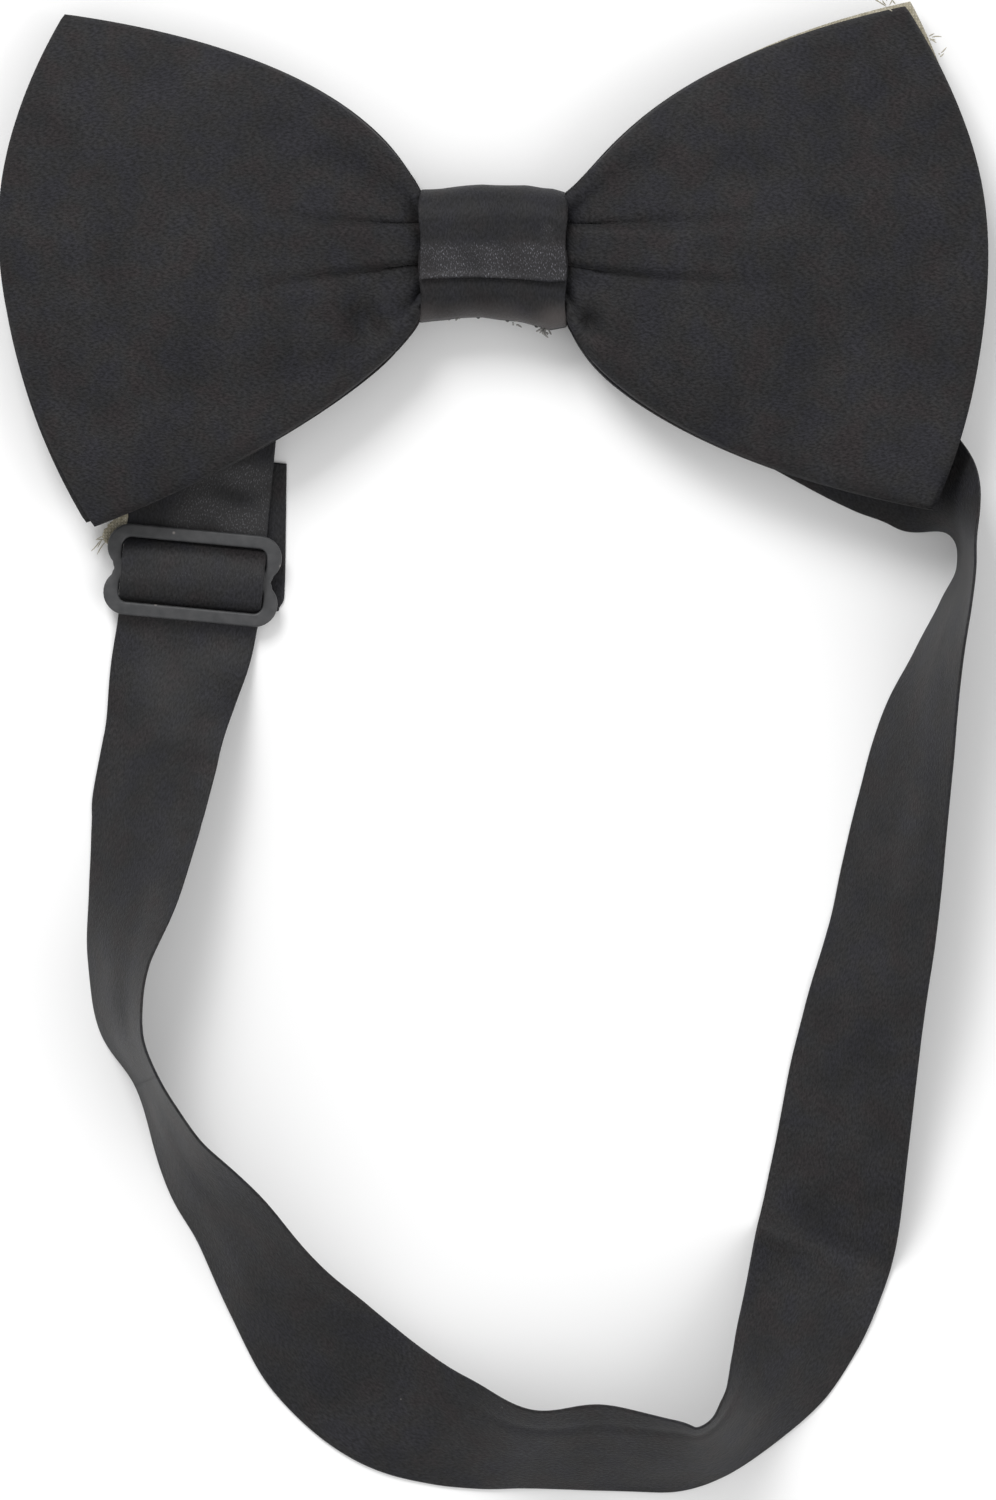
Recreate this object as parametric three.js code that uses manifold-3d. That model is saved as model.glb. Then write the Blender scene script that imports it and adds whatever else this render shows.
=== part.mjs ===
// A pre-tied black bow tie on an adjustable neck band, laid flat with its face up.
//
// Millimetres. X runs along the bow, Y up its face and Z out of its face. The origin is the middle of the
// knot's back, which is the flat face that lies against the collar button. Everything rests on Z = 0.
//
// From back to front the knot holds the neck band, the rear bow (backing, canvas, face) and the front bow
// (backing, canvas, face), with a pad on top, all bound by the knot wrap. One end of the band is folded round
// the clasp eye. The other comes round the neck, through the adjuster slide, round the clasp hook and back to
// the slide's middle bar, where it is sewn into a loop.

import * as THREE from "three";
import { mergeVertices } from "three/addons/utils/BufferGeometryUtils.js";
import Module from "manifold-3d";

// ---- Cloth ----------------------------------------------------------------------------------------------

const CLOTH = 0.4; // thickness of the satin tape and of a bow panel
const GAP = 0.2; // between two layers of cloth
const LAYER = CLOTH + GAP;
const BAND_WIDTH = 19;
const END_GAP = 0.3; // between two pieces that meet end to end
const EDGE_EASE = 0.15; // a fold inside another layer is this much narrower at each edge
const STITCH_RADIUS = 0.22;
const STITCH_LENGTH = 2.8;

// ---- Bow ------------------------------------------------------------------------------------------------

const PANEL_COUNT = 6; // two bows, each with a backing, a canvas and a face
const WAIST_LAYER = 1.1; // a pleated panel's thickness inside the knot
const WAIST_SIDE_CLEARANCE = 0.3;
const EDGE_PITCH = 0.9; // from one panel to the next at the outer edge
const REAR_EDGE_HEIGHT = 4.7; // of the rearmost panel's middle, above the table
const PANEL_COLUMNS = 9;
const PANEL_ROWS = 6;
const RISE_END = 0.6; // share of the wing by which a panel has risen from the knot to its edge height
const THIN_END = 0.25; // share of the wing by which the pleats have thinned to one layer
const CURVE_POWER = 1.5; // how late in the wing its outer edge's swell sets in
const TOP_CORNER_DROOP = 2.4;
const REAR_OVERHANG = 1.2; // the rear bow shows past the front one at its lower left
const CANVAS_INSET = 1.2; // the canvas stops short of the satin's edges
const CANVAS_SHOW = 0.8; // but shows past them at the upper right corner

// The bow is tied by hand, so its corners differ. REACH is how far the middle of a wing's outer edge is from
// the bow's centre line. A corner lies `inset` short of it, at `height` above or below the bow's middle. Its
// edge leaves the knot towards a point at `along` of the way out and `up` of the way to the corner's height.
const REACH = 67;
const LEFT_WING = {
  side: -1,
  top: { inset: 9.1, height: 32.5, along: 0.175, up: 0.82 },
  bottom: { inset: 13.2, height: -36.8, along: 0.255, up: 0.65 },
};
const RIGHT_WING = {
  side: 1,
  top: { inset: 11.3, height: 33.6, along: 0.25, up: 0.78 },
  bottom: { inset: 7.6, height: -34.6, along: 0.21, up: 0.785 },
};

// ---- Knot -----------------------------------------------------------------------------------------------

const KNOT_WIDTH = 19.8; // along X
const KNOT_HALF_HEIGHT = 9.2; // along Y
const WRAP_WALL = 0.6;
const WRAP_BACK_RADIUS = 1.6;
const WRAP_FRONT_RADIUS = 5;
const PAD_THICKNESS = 1.8;
const PAD_SIDE_CLEARANCE = 0.8;
const STITCH_COUNT = 4;
const KNOT_ARC_STEPS = 8;
const BAND_KNOT_CLEARANCE = 2.3; // from the gathered band's edge to the wrap's side
const WAIST_UNDERSIDE = WRAP_WALL + GAP + LAYER; // over the wrap's back and the band
const WAIST_TOP = WAIST_UNDERSIDE + PANEL_COUNT * (WAIST_LAYER + GAP);
const KNOT_DEPTH = WAIST_TOP + PAD_THICKNESS + GAP + WRAP_WALL; // along Z
const BAND_IN_KNOT = 2 * (KNOT_HALF_HEIGHT - WRAP_WALL - BAND_KNOT_CLEARANCE);

// ---- Adjuster -------------------------------------------------------------------------------------------

const SLIDE_CENTRE = [-40.7, -43.3];
const SLIDE_TILT = -5.4; // degrees, about Z
const SLIDE_HEIGHT = 12.4; // along the band
const SLIDE_BAR = 1.8;
const SLIDE_SIDE = 2.1; // beside the slots, at the widest of a lobe
const SLIDE_THICKNESS = 1;
const SLOT_CLEARANCE = 0.25; // between the band's edge and the slot's end, each side
const SLOT_CORNER = 0.4;
const SLOT_HALF_LENGTH = BAND_WIDTH / 2 + SLOT_CLEARANCE;
const LOBE_NOTCH = 1.1; // how deep the waist between the two lobes is cut
const THROUGH_LEVEL = 2 * LAYER; // the band's underside above the slide, over two more layers
const SLIDE_UNDERSIDE = THROUGH_LEVEL + LAYER + 0.1;
const FLAP_LENGTH = 15.6; // the sewn end, from the middle bar back towards the clasp
const FLAP_SHIFT = 3.2; // the sewn end leans out this far to the right of the band, at its fold
const FLAP_LEAN = 1.3; // and this much less at its end
const LOOP_DROP = 4.4; // how far the sewn loop hangs past the middle bar
const LOOP_RETURN = 1; // how far past the slide the sewn loop reaches before the returning layer begins
const RUN_END = 24; // from the middle bar to where the neck band proper begins
const RUN_SWING = 0.13; // sideways slope of the band below the slide
const RUN_SWING_START = 4;
const RUN_SWING_END = 12;
const RUN_ROLL = 30; // degrees that the band has rolled by RUN_END
const TONGUE_CANVAS_LENGTH = 4.8; // the raw canvas end that shows beside the slide
const TONGUE_CANVAS_REACH = 3.4;
const TONGUE_CANVAS_START = 3.2; // above the middle bar

// ---- Clasp ----------------------------------------------------------------------------------------------

const HARDWARE = 0.8; // sheet metal thickness
const HOOK_BAR_CENTRE = 24.5; // from the slide's middle bar to the hook's folded bar
const HOOK_BAR = 1.8;
const HOOK_SLOT = 2.6;
const HOOK_SIDE = 1.9;
const HOOK_UNDERSIDE = 2 * LAYER; // the returning layer and the sewn end run under the hook
const HOOK_LEG = 6; // how far the hook's fold reaches back along the band
const CLASP_REACH = 4; // from the hook's plate to the eye's bar
const TONGUE_WIDTH = 4;
const TONGUE_THICKNESS = 0.5;
const EYE_UNDERSIDE = LAYER + GAP;
const EYE_BAR = 1.3;
const EYE_THICKNESS = 0.7;
const EYE_CLEARANCE = 0.7; // between the band's edge and the eye's end, each side
const EYE_INNER_WIDTH = 6;
const EYE_FOLD_LENGTH = 13;

// ---- Neck loop ------------------------------------------------------------------------------------------

const LOOP_REACH = 161; // from the bow's middle to the far side of the loop

// How the band's middle runs round the neck. A row is [out, down, roll]. On the left, out is a share of the
// distance from the centre line to the end of the adjuster's run, and down is a share of the way from there to
// the far side of the loop. On the right, both start from the wing's lower corner instead. Roll is in degrees,
// and a positive one lifts the edge that faces the inside of the loop.
const LEFT_ROUTE = [
  [1.046, 0.112, 39],
  [1.078, 0.2, 49],
  [1.118, 0.296, 63],
  [1.113, 0.396, 72],
  [1.038, 0.477, 79],
  [0.931, 0.577, 69],
  [0.796, 0.668, 56],
  [0.665, 0.771, 45],
  [0.514, 0.863, 27],
  [0.333, 0.936, 20],
  [0.133, 0.979, 34],
];
const RIGHT_ROUTE = [
  [0.067, 1.003, 53],
  [0.244, 1.006, 53],
  [0.404, 1.011, 57],
  [0.494, 1.006, 65],
  [0.584, 0.975, 61],
  [0.654, 0.925, 41],
  [0.7, 0.874, 26],
  [0.736, 0.822, 13],
  [0.765, 0.77, -6],
  [0.793, 0.69, -20],
  [0.819, 0.609, -26],
  [0.852, 0.529, -35],
  [0.89, 0.449, -44],
  [0.927, 0.342, -51],
  [0.963, 0.235, -58],
  [1.008, 0.157, -69],
  [1.049, 0.102, -78],
  [1.076, 0.059, -82],
];

// Where the band turns in under the right wing: [x, y] from the wing's lower corner, roll, and how much
// narrower than its full width the band is gathered.
const CORNER_ROLL = 20;
const CORNER_GATHER = 3.5;
const CORNER_ROUTE = [
  [3.8, -1.7, -70, 1],
  [-0.4, 3.3, -CORNER_ROLL, CORNER_GATHER],
  [-5.6, 7.5, -8, 1],
  [-12.7, 11.8, -2, 0],
];
const CORNER_CLEARANCE = 2.8; // from the band to the wing's lower right corner

// Where it narrows to enter the knot: [x, y] from the knot's right side, width and height above the table.
const KNOT_LIFT = WRAP_WALL + GAP;
const KNOT_ROUTE = [
  [23.1, -15.1, BAND_WIDTH, 0],
  [13.1, -9.2, BAND_WIDTH - 2, 0.1],
  [6.1, -4.2, BAND_IN_KNOT + 0.5, 0.4],
  [0.6, -1.3, BAND_IN_KNOT, KNOT_LIFT],
  [-KNOT_WIDTH / 2, -0.9, BAND_IN_KNOT, KNOT_LIFT],
];
const KNOT_EXIT = -0.6; // where it leaves the knot, above half way from the bow's middle to the clasp eye's
const BAND_STEPS = 110;
const ROLL_EASE = 0.06; // keeps the band's height from turning sharply where its roll passes through level
const START_LEAD = 7; // the band leaves the adjuster's run in line with it for this far
const END_LEAD = 3; // and meets the eye's fold in line with it over this far

const wasm = await Module();
wasm.setup();

// ---- Geometry helpers -----------------------------------------------------------------------------------

const vec = (x, y, z = 0) => new THREE.Vector3(x, y, z);
const smooth = (low, high, x) => THREE.MathUtils.smoothstep(x, low, high);
const lerp = THREE.MathUtils.lerp;

// A closed solid from rings of points: the rings are joined in order and both ends are capped. A ring runs
// along the strip's underside and back along its top, so its points face each other in pairs. The triangles of
// both sides are cut along the same diagonals, which keeps a twisted strip's two sides apart.
function skin(rings) {
  const size = rings[0].length;
  const positions = rings.flat().flatMap((p) => [p.x, p.y, p.z]);
  const indices = [];
  for (let i = 0; i < rings.length - 1; i++) {
    for (let j = 0; j < size; j++) {
      const a = i * size + j;
      const b = i * size + ((j + 1) % size);
      if (j < size / 2) indices.push(a, b, a + size, b, b + size, a + size);
      else indices.push(a, b, b + size, a, b + size, a + size);
    }
  }
  const last = (rings.length - 1) * size;
  for (let j = 0; j < size / 2 - 1; j++) {
    const facing = size - 1 - j;
    indices.push(j, facing, j + 1, j + 1, facing, facing - 1);
    indices.push(last + j, last + j + 1, last + facing, last + j + 1, last + facing - 1, last + facing);
  }
  const geometry = new THREE.BufferGeometry();
  geometry.setAttribute("position", new THREE.Float32BufferAttribute(positions, 3));
  geometry.setIndex(indices);
  geometry.computeVertexNormals();
  return geometry;
}

// A flat strip of cloth along stations of { centre, across, width }, where across is the unit direction from
// one edge of the strip to the other.
function ribbon(stations, thickness = CLOTH) {
  const rings = stations.map(({ centre, across, width }, i) => {
    const before = stations[Math.max(i - 1, 0)].centre;
    const after = stations[Math.min(i + 1, stations.length - 1)].centre;
    const along = after.clone().sub(before).normalize();
    const face = along.clone().cross(across).normalize().multiplyScalar(thickness / 2);
    const half = across.clone().multiplyScalar(width / 2);
    return [
      centre.clone().sub(half).sub(face),
      centre.clone().add(half).sub(face),
      centre.clone().add(half).add(face),
      centre.clone().sub(half).add(face),
    ];
  });
  return skin(rings);
}

// A strip through [y, z, x] points, where x may be left out: it lies across the X axis, as wide as width.
function foldedStrip(points, width, steps, thickness = CLOTH) {
  const curve = new THREE.CatmullRomCurve3(points.map(([y, z, x = 0]) => vec(x, y, z)), false, "centripetal");
  const across = vec(1, 0, 0);
  return ribbon(curve.getSpacedPoints(steps).map((centre) => ({ centre, across, width })), thickness);
}

// The [y, z, x] points of a half turn at y, from level `from` to level `to`, bulging to the given side.
function turn(y, from, to, side, x = 0) {
  const middle = (from + to) / 2;
  const radius = Math.abs(to - from) / 2;
  return [0, 1, 2, 3, 4].map((i) => {
    const angle = (i * Math.PI) / 4;
    return [y + side * radius * Math.sin(angle), middle + (from - middle) * Math.cos(angle), x];
  });
}

function rectanglePath(path, halfX, lowY, highY, radius) {
  path.moveTo(-halfX + radius, lowY);
  path.lineTo(halfX - radius, lowY);
  path.absarc(halfX - radius, lowY + radius, radius, -Math.PI / 2, 0, false);
  path.lineTo(halfX, highY - radius);
  path.absarc(halfX - radius, highY - radius, radius, 0, Math.PI / 2, false);
  path.lineTo(-halfX + radius, highY);
  path.absarc(-halfX + radius, highY - radius, radius, Math.PI / 2, Math.PI, false);
  path.lineTo(-halfX, lowY + radius);
  path.absarc(-halfX + radius, lowY + radius, radius, Math.PI, 1.5 * Math.PI, false);
  return path;
}

function plate(shape, thickness, underside, curveSegments = 6) {
  const geometry = new THREE.ExtrudeGeometry(shape, { depth: thickness, bevelEnabled: false, curveSegments });
  geometry.translate(0, 0, underside);
  return geometry;
}

function toSolid(geometry) {
  const bare = geometry.clone();
  bare.deleteAttribute("normal");
  bare.deleteAttribute("uv");
  const merged = mergeVertices(bare, 1e-4);
  return new wasm.Manifold(
    new wasm.Mesh({
      numProp: 3,
      vertProperties: merged.attributes.position.array,
      triVerts: new Uint32Array(merged.index.array),
    }),
  );
}

function fromSolid(solid) {
  const mesh = solid.getMesh();
  const geometry = new THREE.BufferGeometry();
  geometry.setAttribute("position", new THREE.Float32BufferAttribute(mesh.vertProperties, 3));
  geometry.setIndex(Array.from(mesh.triVerts));
  geometry.computeVertexNormals();
  return geometry;
}

const joined = (...geometries) => fromSolid(geometries.map(toSolid).reduce((a, b) => a.add(b)));

// ---- Materials ------------------------------------------------------------------------------------------

const cloth = (color, roughness) => new THREE.MeshStandardMaterial({ color, roughness, metalness: 0 });
const MATTE_SATIN = cloth(0x1d1c1e, 0.75);
const BRIGHT_SATIN = cloth(0x18171a, 0.5);
const CANVAS = cloth(0xb9b1a0, 0.95);
const WADDING = cloth(0x8a8884, 0.95);
const THREAD = cloth(0x141315, 0.6);
const COATED_METAL = new THREE.MeshStandardMaterial({ color: 0x303032, roughness: 0.6, metalness: 0.3 });

const tie = new THREE.Group();

function piece(parent, name, geometry, material) {
  const mesh = new THREE.Mesh(geometry, material);
  mesh.name = name;
  parent.add(mesh);
  return mesh;
}

// ---- Bow panels -----------------------------------------------------------------------------------------

// A corner's place, with the wing grown by `grow` all round.
function cornerPlace({ side }, { inset, height }, grow = 0) {
  return [side * (REACH - inset + grow), height + Math.sign(height) * grow];
}

// Half the room inside the knot wrap at a height: the front of the wrap is rounded.
function knotRoom(height) {
  const radius = WRAP_FRONT_RADIUS - WRAP_WALL;
  const over = Math.max(height - (KNOT_DEPTH - WRAP_FRONT_RADIUS), 0);
  return KNOT_HALF_HEIGHT - WRAP_FRONT_RADIUS + Math.sqrt(radius ** 2 - over ** 2);
}

// A wing's top or bottom edge, from the knot to the corner.
function wingEdge(wing, corner, waistY, grow) {
  const start = new THREE.Vector2(wing.side * (KNOT_WIDTH / 2), waistY);
  const end = new THREE.Vector2(...cornerPlace(wing, corner, grow));
  const towards = new THREE.Vector2(lerp(start.x, end.x, corner.along), corner.up * end.y);
  return new THREE.QuadraticBezierCurve(start, towards, end);
}

// The point of a wing at share s from the knot to its outer edge, and w from -1 at the bottom to 1 at the top.
function wingPoint(wing, waistHalf, grow, s, w) {
  const top = wingEdge(wing, wing.top, waistHalf, grow).getPoint(s);
  const bottom = wingEdge(wing, wing.bottom, -waistHalf, grow).getPoint(s);
  const point = bottom.lerp(top, (w + 1) / 2);
  const swell = (wing.top.inset + wing.bottom.inset) / 2;
  point.x += wing.side * swell * (1 - w * w) * s ** CURVE_POWER;
  return point;
}

// The right wing's lower corner rides over the rolled band.
const cornerBandHeight = (BAND_WIDTH - CORNER_GATHER) * Math.sin(THREE.MathUtils.degToRad(CORNER_ROLL));
const rightCornerLift = cornerBandHeight + CORNER_CLEARANCE - REAR_EDGE_HEIGHT;

// One panel of a bow, from the tip of the left wing through the knot to the tip of the right one. order counts
// the panels from the back, puff is how far the panel swells in the middle of a wing, and grow is how far it
// stands out past the wings' outline.
function bowPanel({ order, puff, grow = 0, wings = [LEFT_WING, RIGHT_WING] }) {
  const waistHeight = WAIST_UNDERSIDE + WAIST_LAYER / 2 + order * (WAIST_LAYER + GAP);
  const edgeHeight = REAR_EDGE_HEIGHT + order * EDGE_PITCH;
  const waistHalf = knotRoom(waistHeight + WAIST_LAYER / 2) - WAIST_SIDE_CLEARANCE;
  const columns = [];
  for (let i = PANEL_COLUMNS; i >= 0; i--) columns.push([wings[0], i / PANEL_COLUMNS]);
  for (let i = 0; i <= PANEL_COLUMNS; i++) columns.push([wings[1], i / PANEL_COLUMNS]);
  const rings = columns.map(([wing, s]) => {
    const thickness = lerp(WAIST_LAYER, CLOTH, smooth(0, THIN_END, s));
    const cornerLift = wing.side > 0 ? rightCornerLift : 0;
    const under = [];
    const over = [];
    for (let j = 0; j <= PANEL_ROWS; j++) {
      const w = (2 * j) / PANEL_ROWS - 1;
      const { x, y } = wingPoint(wing, waistHalf, grow, s, w);
      const height =
        lerp(waistHeight, edgeHeight, smooth(0, RISE_END, s)) +
        puff * Math.sin(Math.PI * s) * (1 - 0.7 * w * w) -
        TOP_CORNER_DROOP * s ** 3 * Math.max(w, 0) ** 2 +
        cornerLift * s ** 3 * Math.max(-w, 0) ** 2;
      under.push(vec(x, y, height - thickness / 2));
      over.unshift(vec(x, y, height + thickness / 2));
    }
    return [...under, ...over];
  });
  return skin(rings);
}

// A wing whose named corner is moved outwards by `out` and up or down by `more`.
function movedCorner(wing, name, out, more) {
  const corner = wing[name];
  const height = corner.height + Math.sign(corner.height) * more;
  return { ...wing, [name]: { ...corner, inset: corner.inset - out, height } };
}

const rearLeftWing = movedCorner(LEFT_WING, "bottom", REAR_OVERHANG, -REAR_OVERHANG / 2);
const canvasCorner = CANVAS_INSET + CANVAS_SHOW;
const rearWings = [rearLeftWing, RIGHT_WING];
const rearCanvasWings = [rearLeftWing, movedCorner(RIGHT_WING, "top", canvasCorner, canvasCorner)];

const PANELS = {
  rear_bow_backing: { puff: 0, wings: rearWings },
  rear_bow_interlining: { puff: 0.5, wings: rearCanvasWings, grow: -CANVAS_INSET },
  rear_bow_face: { puff: 0.8, wings: rearWings },
  front_bow_backing: { puff: 1.4 },
  front_bow_interlining: { puff: 4.2, grow: -CANVAS_INSET },
  front_bow_face: { puff: 4.6 },
};
Object.entries(PANELS).forEach(([name, panel], order) => {
  const material = name.endsWith("interlining") ? CANVAS : MATTE_SATIN;
  piece(tie, name, bowPanel({ ...panel, order }), material);
});

// ---- Knot -----------------------------------------------------------------------------------------------

// The knot's section, in (y, z): flat at the back, rounder at the front.
function knotSection(path, inset) {
  const half = KNOT_HALF_HEIGHT - inset;
  const low = inset;
  const high = KNOT_DEPTH - inset;
  const back = WRAP_BACK_RADIUS - inset;
  const front = WRAP_FRONT_RADIUS - inset;
  path.moveTo(-half + back, low);
  path.lineTo(half - back, low);
  path.absarc(half - back, low + back, back, -Math.PI / 2, 0, false);
  path.absarc(half - front, high - front, front, 0, Math.PI / 2, false);
  path.absarc(-half + front, high - front, front, Math.PI / 2, Math.PI, false);
  path.absarc(-half + back, low + back, back, Math.PI, 1.5 * Math.PI, false);
  return path;
}

// Turns a section drawn in (y, z) and extruded along Z so that it runs along X, centred on X = 0.
const SECTION_TO_X = new THREE.Matrix4().makeBasis(vec(0, 1, 0), vec(0, 0, 1), vec(1, 0, 0));

function alongX(shape, length, curveSegments) {
  const geometry = new THREE.ExtrudeGeometry(shape, { depth: length, bevelEnabled: false, curveSegments });
  return geometry.translate(0, 0, -length / 2).applyMatrix4(SECTION_TO_X);
}

function knotWrap() {
  const shape = knotSection(new THREE.Shape(), 0);
  shape.holes.push(knotSection(new THREE.Path(), WRAP_WALL));
  return alongX(shape, KNOT_WIDTH, KNOT_ARC_STEPS);
}

// The pad fills the front of the wrap, over the pleated waist.
function knotPad() {
  const section = knotSection(new THREE.Shape(), WRAP_WALL + GAP);
  const inner = alongX(section, KNOT_WIDTH - 2 * PAD_SIDE_CLEARANCE, KNOT_ARC_STEPS);
  const below = new THREE.BoxGeometry(KNOT_WIDTH, 2 * KNOT_HALF_HEIGHT, WAIST_TOP);
  below.translate(0, 0, WAIST_TOP / 2);
  return fromSolid(toSolid(inner).subtract(toSolid(below)));
}

piece(tie, "knot_wrap", knotWrap(), BRIGHT_SATIN);
piece(tie, "knot_padding", knotPad(), WADDING);

// A short stitch of thread, along Y until it is turned.
const stitch = () => new THREE.CapsuleGeometry(STITCH_RADIUS, STITCH_LENGTH, 3, 6);

// Whip stitches that close the wrap along the bottom of the knot, near its back.
for (let i = 0; i < STITCH_COUNT; i++) {
  const mesh = piece(tie, `knot_stitch_${i + 1}`, stitch(), THREAD);
  const pitch = KNOT_WIDTH / (STITCH_COUNT + 1);
  mesh.position.set(
    (i + 1) * pitch - KNOT_WIDTH / 2,
    -KNOT_HALF_HEIGHT - STITCH_RADIUS - GAP,
    WRAP_BACK_RADIUS + STITCH_LENGTH / 2,
  );
  mesh.rotation.set(Math.PI / 2, 0, 0);
}

// ---- Adjuster slide, in the adjuster's own frame --------------------------------------------------------
// Its Y runs up the band towards the clasp and its X across the band. The slide's middle bar is at Y = 0.

const adjuster = new THREE.Group();
adjuster.position.set(...SLIDE_CENTRE, 0);
adjuster.rotation.z = THREE.MathUtils.degToRad(SLIDE_TILT);
tie.add(adjuster);

const slotFar = SLIDE_HEIGHT / 2 - SLIDE_BAR; // from the middle bar's centre to a slot's far side

function slideFrame() {
  const lobe = SLIDE_HEIGHT / 4;
  const outer = new THREE.Shape();
  const halfX = SLOT_HALF_LENGTH + SLIDE_SIDE;
  const halfY = SLIDE_HEIGHT / 2;
  // Two lobes a side, which meet in a notch at the middle bar.
  outer.moveTo(-halfX + lobe, -halfY);
  outer.lineTo(halfX - lobe, -halfY);
  outer.absarc(halfX - lobe, -halfY + lobe, lobe, -Math.PI / 2, Math.PI / 4, false);
  outer.lineTo(halfX - LOBE_NOTCH, 0);
  outer.absarc(halfX - lobe, halfY - lobe, lobe, -Math.PI / 4, Math.PI / 2, false);
  outer.lineTo(-halfX + lobe, halfY);
  outer.absarc(-halfX + lobe, halfY - lobe, lobe, Math.PI / 2, 1.25 * Math.PI, false);
  outer.lineTo(-halfX + LOBE_NOTCH, 0);
  outer.absarc(-halfX + lobe, -halfY + lobe, lobe, 0.75 * Math.PI, 1.5 * Math.PI, false);
  outer.holes.push(rectanglePath(new THREE.Path(), SLOT_HALF_LENGTH, SLIDE_BAR / 2, slotFar, SLOT_CORNER));
  outer.holes.push(rectanglePath(new THREE.Path(), SLOT_HALF_LENGTH, -slotFar, -SLIDE_BAR / 2, SLOT_CORNER));
  return plate(outer, SLIDE_THICKNESS, SLIDE_UNDERSIDE);
}
piece(adjuster, "adjuster_slide", slideFrame(), COATED_METAL);

// Heights of the middle of each layer.
const half = CLOTH / 2;
const flapLevel = half;
const returnLevel = LAYER + half;
const throughLevel = THROUGH_LEVEL + half;
const barTop = SLIDE_UNDERSIDE + SLIDE_THICKNESS;
const loopTop = barTop + GAP + half;
const archTop = loopTop + LAYER;
const overHook = HOOK_UNDERSIDE + HARDWARE + GAP + half;
const eyeTop = EYE_UNDERSIDE + EYE_THICKNESS;

// Places along the band.
const barSide = SLIDE_BAR / 2 + GAP + half; // the sewn loop's layer beside the middle bar
const loopReturnEnd = SLIDE_HEIGHT / 2 + LOOP_RETURN;
const hookBarNear = HOOK_BAR_CENTRE - HOOK_BAR / 2;
const hookBarFar = HOOK_BAR_CENTRE + HOOK_BAR / 2;
const hookTop = hookBarFar + HOOK_SLOT + HOOK_BAR;
const hookFoldStart = hookBarNear - HOOK_BAR / 2;
const hookFoldEnd = hookBarNear - HOOK_LEG;
const eyeBarNear = hookTop + CLASP_REACH;
const eyeBarFar = eyeBarNear + EYE_BAR;

// The sewn end: from the return layer up through the upper slot, over the middle bar, down through the lower
// slot and back under everything as the flap.
function endLoop() {
  const round = (GAP + half) * Math.SQRT1_2;
  const overBar = [
    [-SLIDE_BAR / 2 + 0.1, loopTop],
    [-SLIDE_BAR / 2 - round, barTop + round],
    [-barSide, barTop - 0.1],
    [-barSide, barTop - 0.5],
  ];
  const points = [
    [loopReturnEnd, returnLevel],
    [barSide + 2.1, returnLevel],
    [barSide + 0.8, returnLevel + 0.5],
    ...overBar.map(([y, z]) => [-y, z]).reverse(),
    ...overBar,
    [-barSide - 0.9, returnLevel + 0.5],
    [-barSide - 1.8, returnLevel],
    ...turn(-LOOP_DROP, returnLevel, flapLevel, -1, FLAP_SHIFT / 3),
    [1 - LOOP_DROP, flapLevel, FLAP_SHIFT * 0.6],
    [3 - LOOP_DROP, flapLevel, FLAP_SHIFT],
    [FLAP_LENGTH / 2, flapLevel, FLAP_SHIFT - FLAP_LEAN / 2],
    [FLAP_LENGTH, flapLevel, FLAP_SHIFT - FLAP_LEAN],
  ];
  return foldedStrip(points, BAND_WIDTH - 2 * EDGE_EASE, 70);
}

piece(adjuster, "band_end_loop", endLoop(), BRIGHT_SATIN);

// The raw end of the band's canvas, which shows beside the slide.
function canvasTongue() {
  const side = -BAND_WIDTH / 2 - END_GAP;
  const start = TONGUE_CANVAS_START;
  const shape = new THREE.Shape();
  shape.moveTo(side, start);
  shape.lineTo(side, start + TONGUE_CANVAS_LENGTH);
  shape.lineTo(side - 0.4 * TONGUE_CANVAS_REACH, start + 0.8 * TONGUE_CANVAS_LENGTH);
  shape.lineTo(side - 0.95 * TONGUE_CANVAS_REACH, start + 0.3 * TONGUE_CANVAS_LENGTH);
  shape.lineTo(side - TONGUE_CANVAS_REACH, start - 0.15 * TONGUE_CANVAS_LENGTH);
  shape.lineTo(side - 0.65 * TONGUE_CANVAS_REACH, start - 0.35 * TONGUE_CANVAS_LENGTH);
  return plate(shape, CLOTH, LAYER);
}
piece(adjuster, "end_canvas_tongue", canvasTongue(), CANVAS);

// How far the band below the slide has swung sideways at y, and how steeply it swings there.
function runSwing(y) {
  const reach = -y - RUN_SWING_START;
  const ramp = RUN_SWING_END - RUN_SWING_START;
  if (reach <= 0) return 0;
  return reach < ramp ? (-RUN_SWING * reach ** 2) / (2 * ramp) : -RUN_SWING * (reach - ramp / 2);
}

function runSlope(y) {
  const ramp = RUN_SWING_END - RUN_SWING_START;
  return RUN_SWING * THREE.MathUtils.clamp((-y - RUN_SWING_START) / ramp, 0, 1);
}

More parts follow.
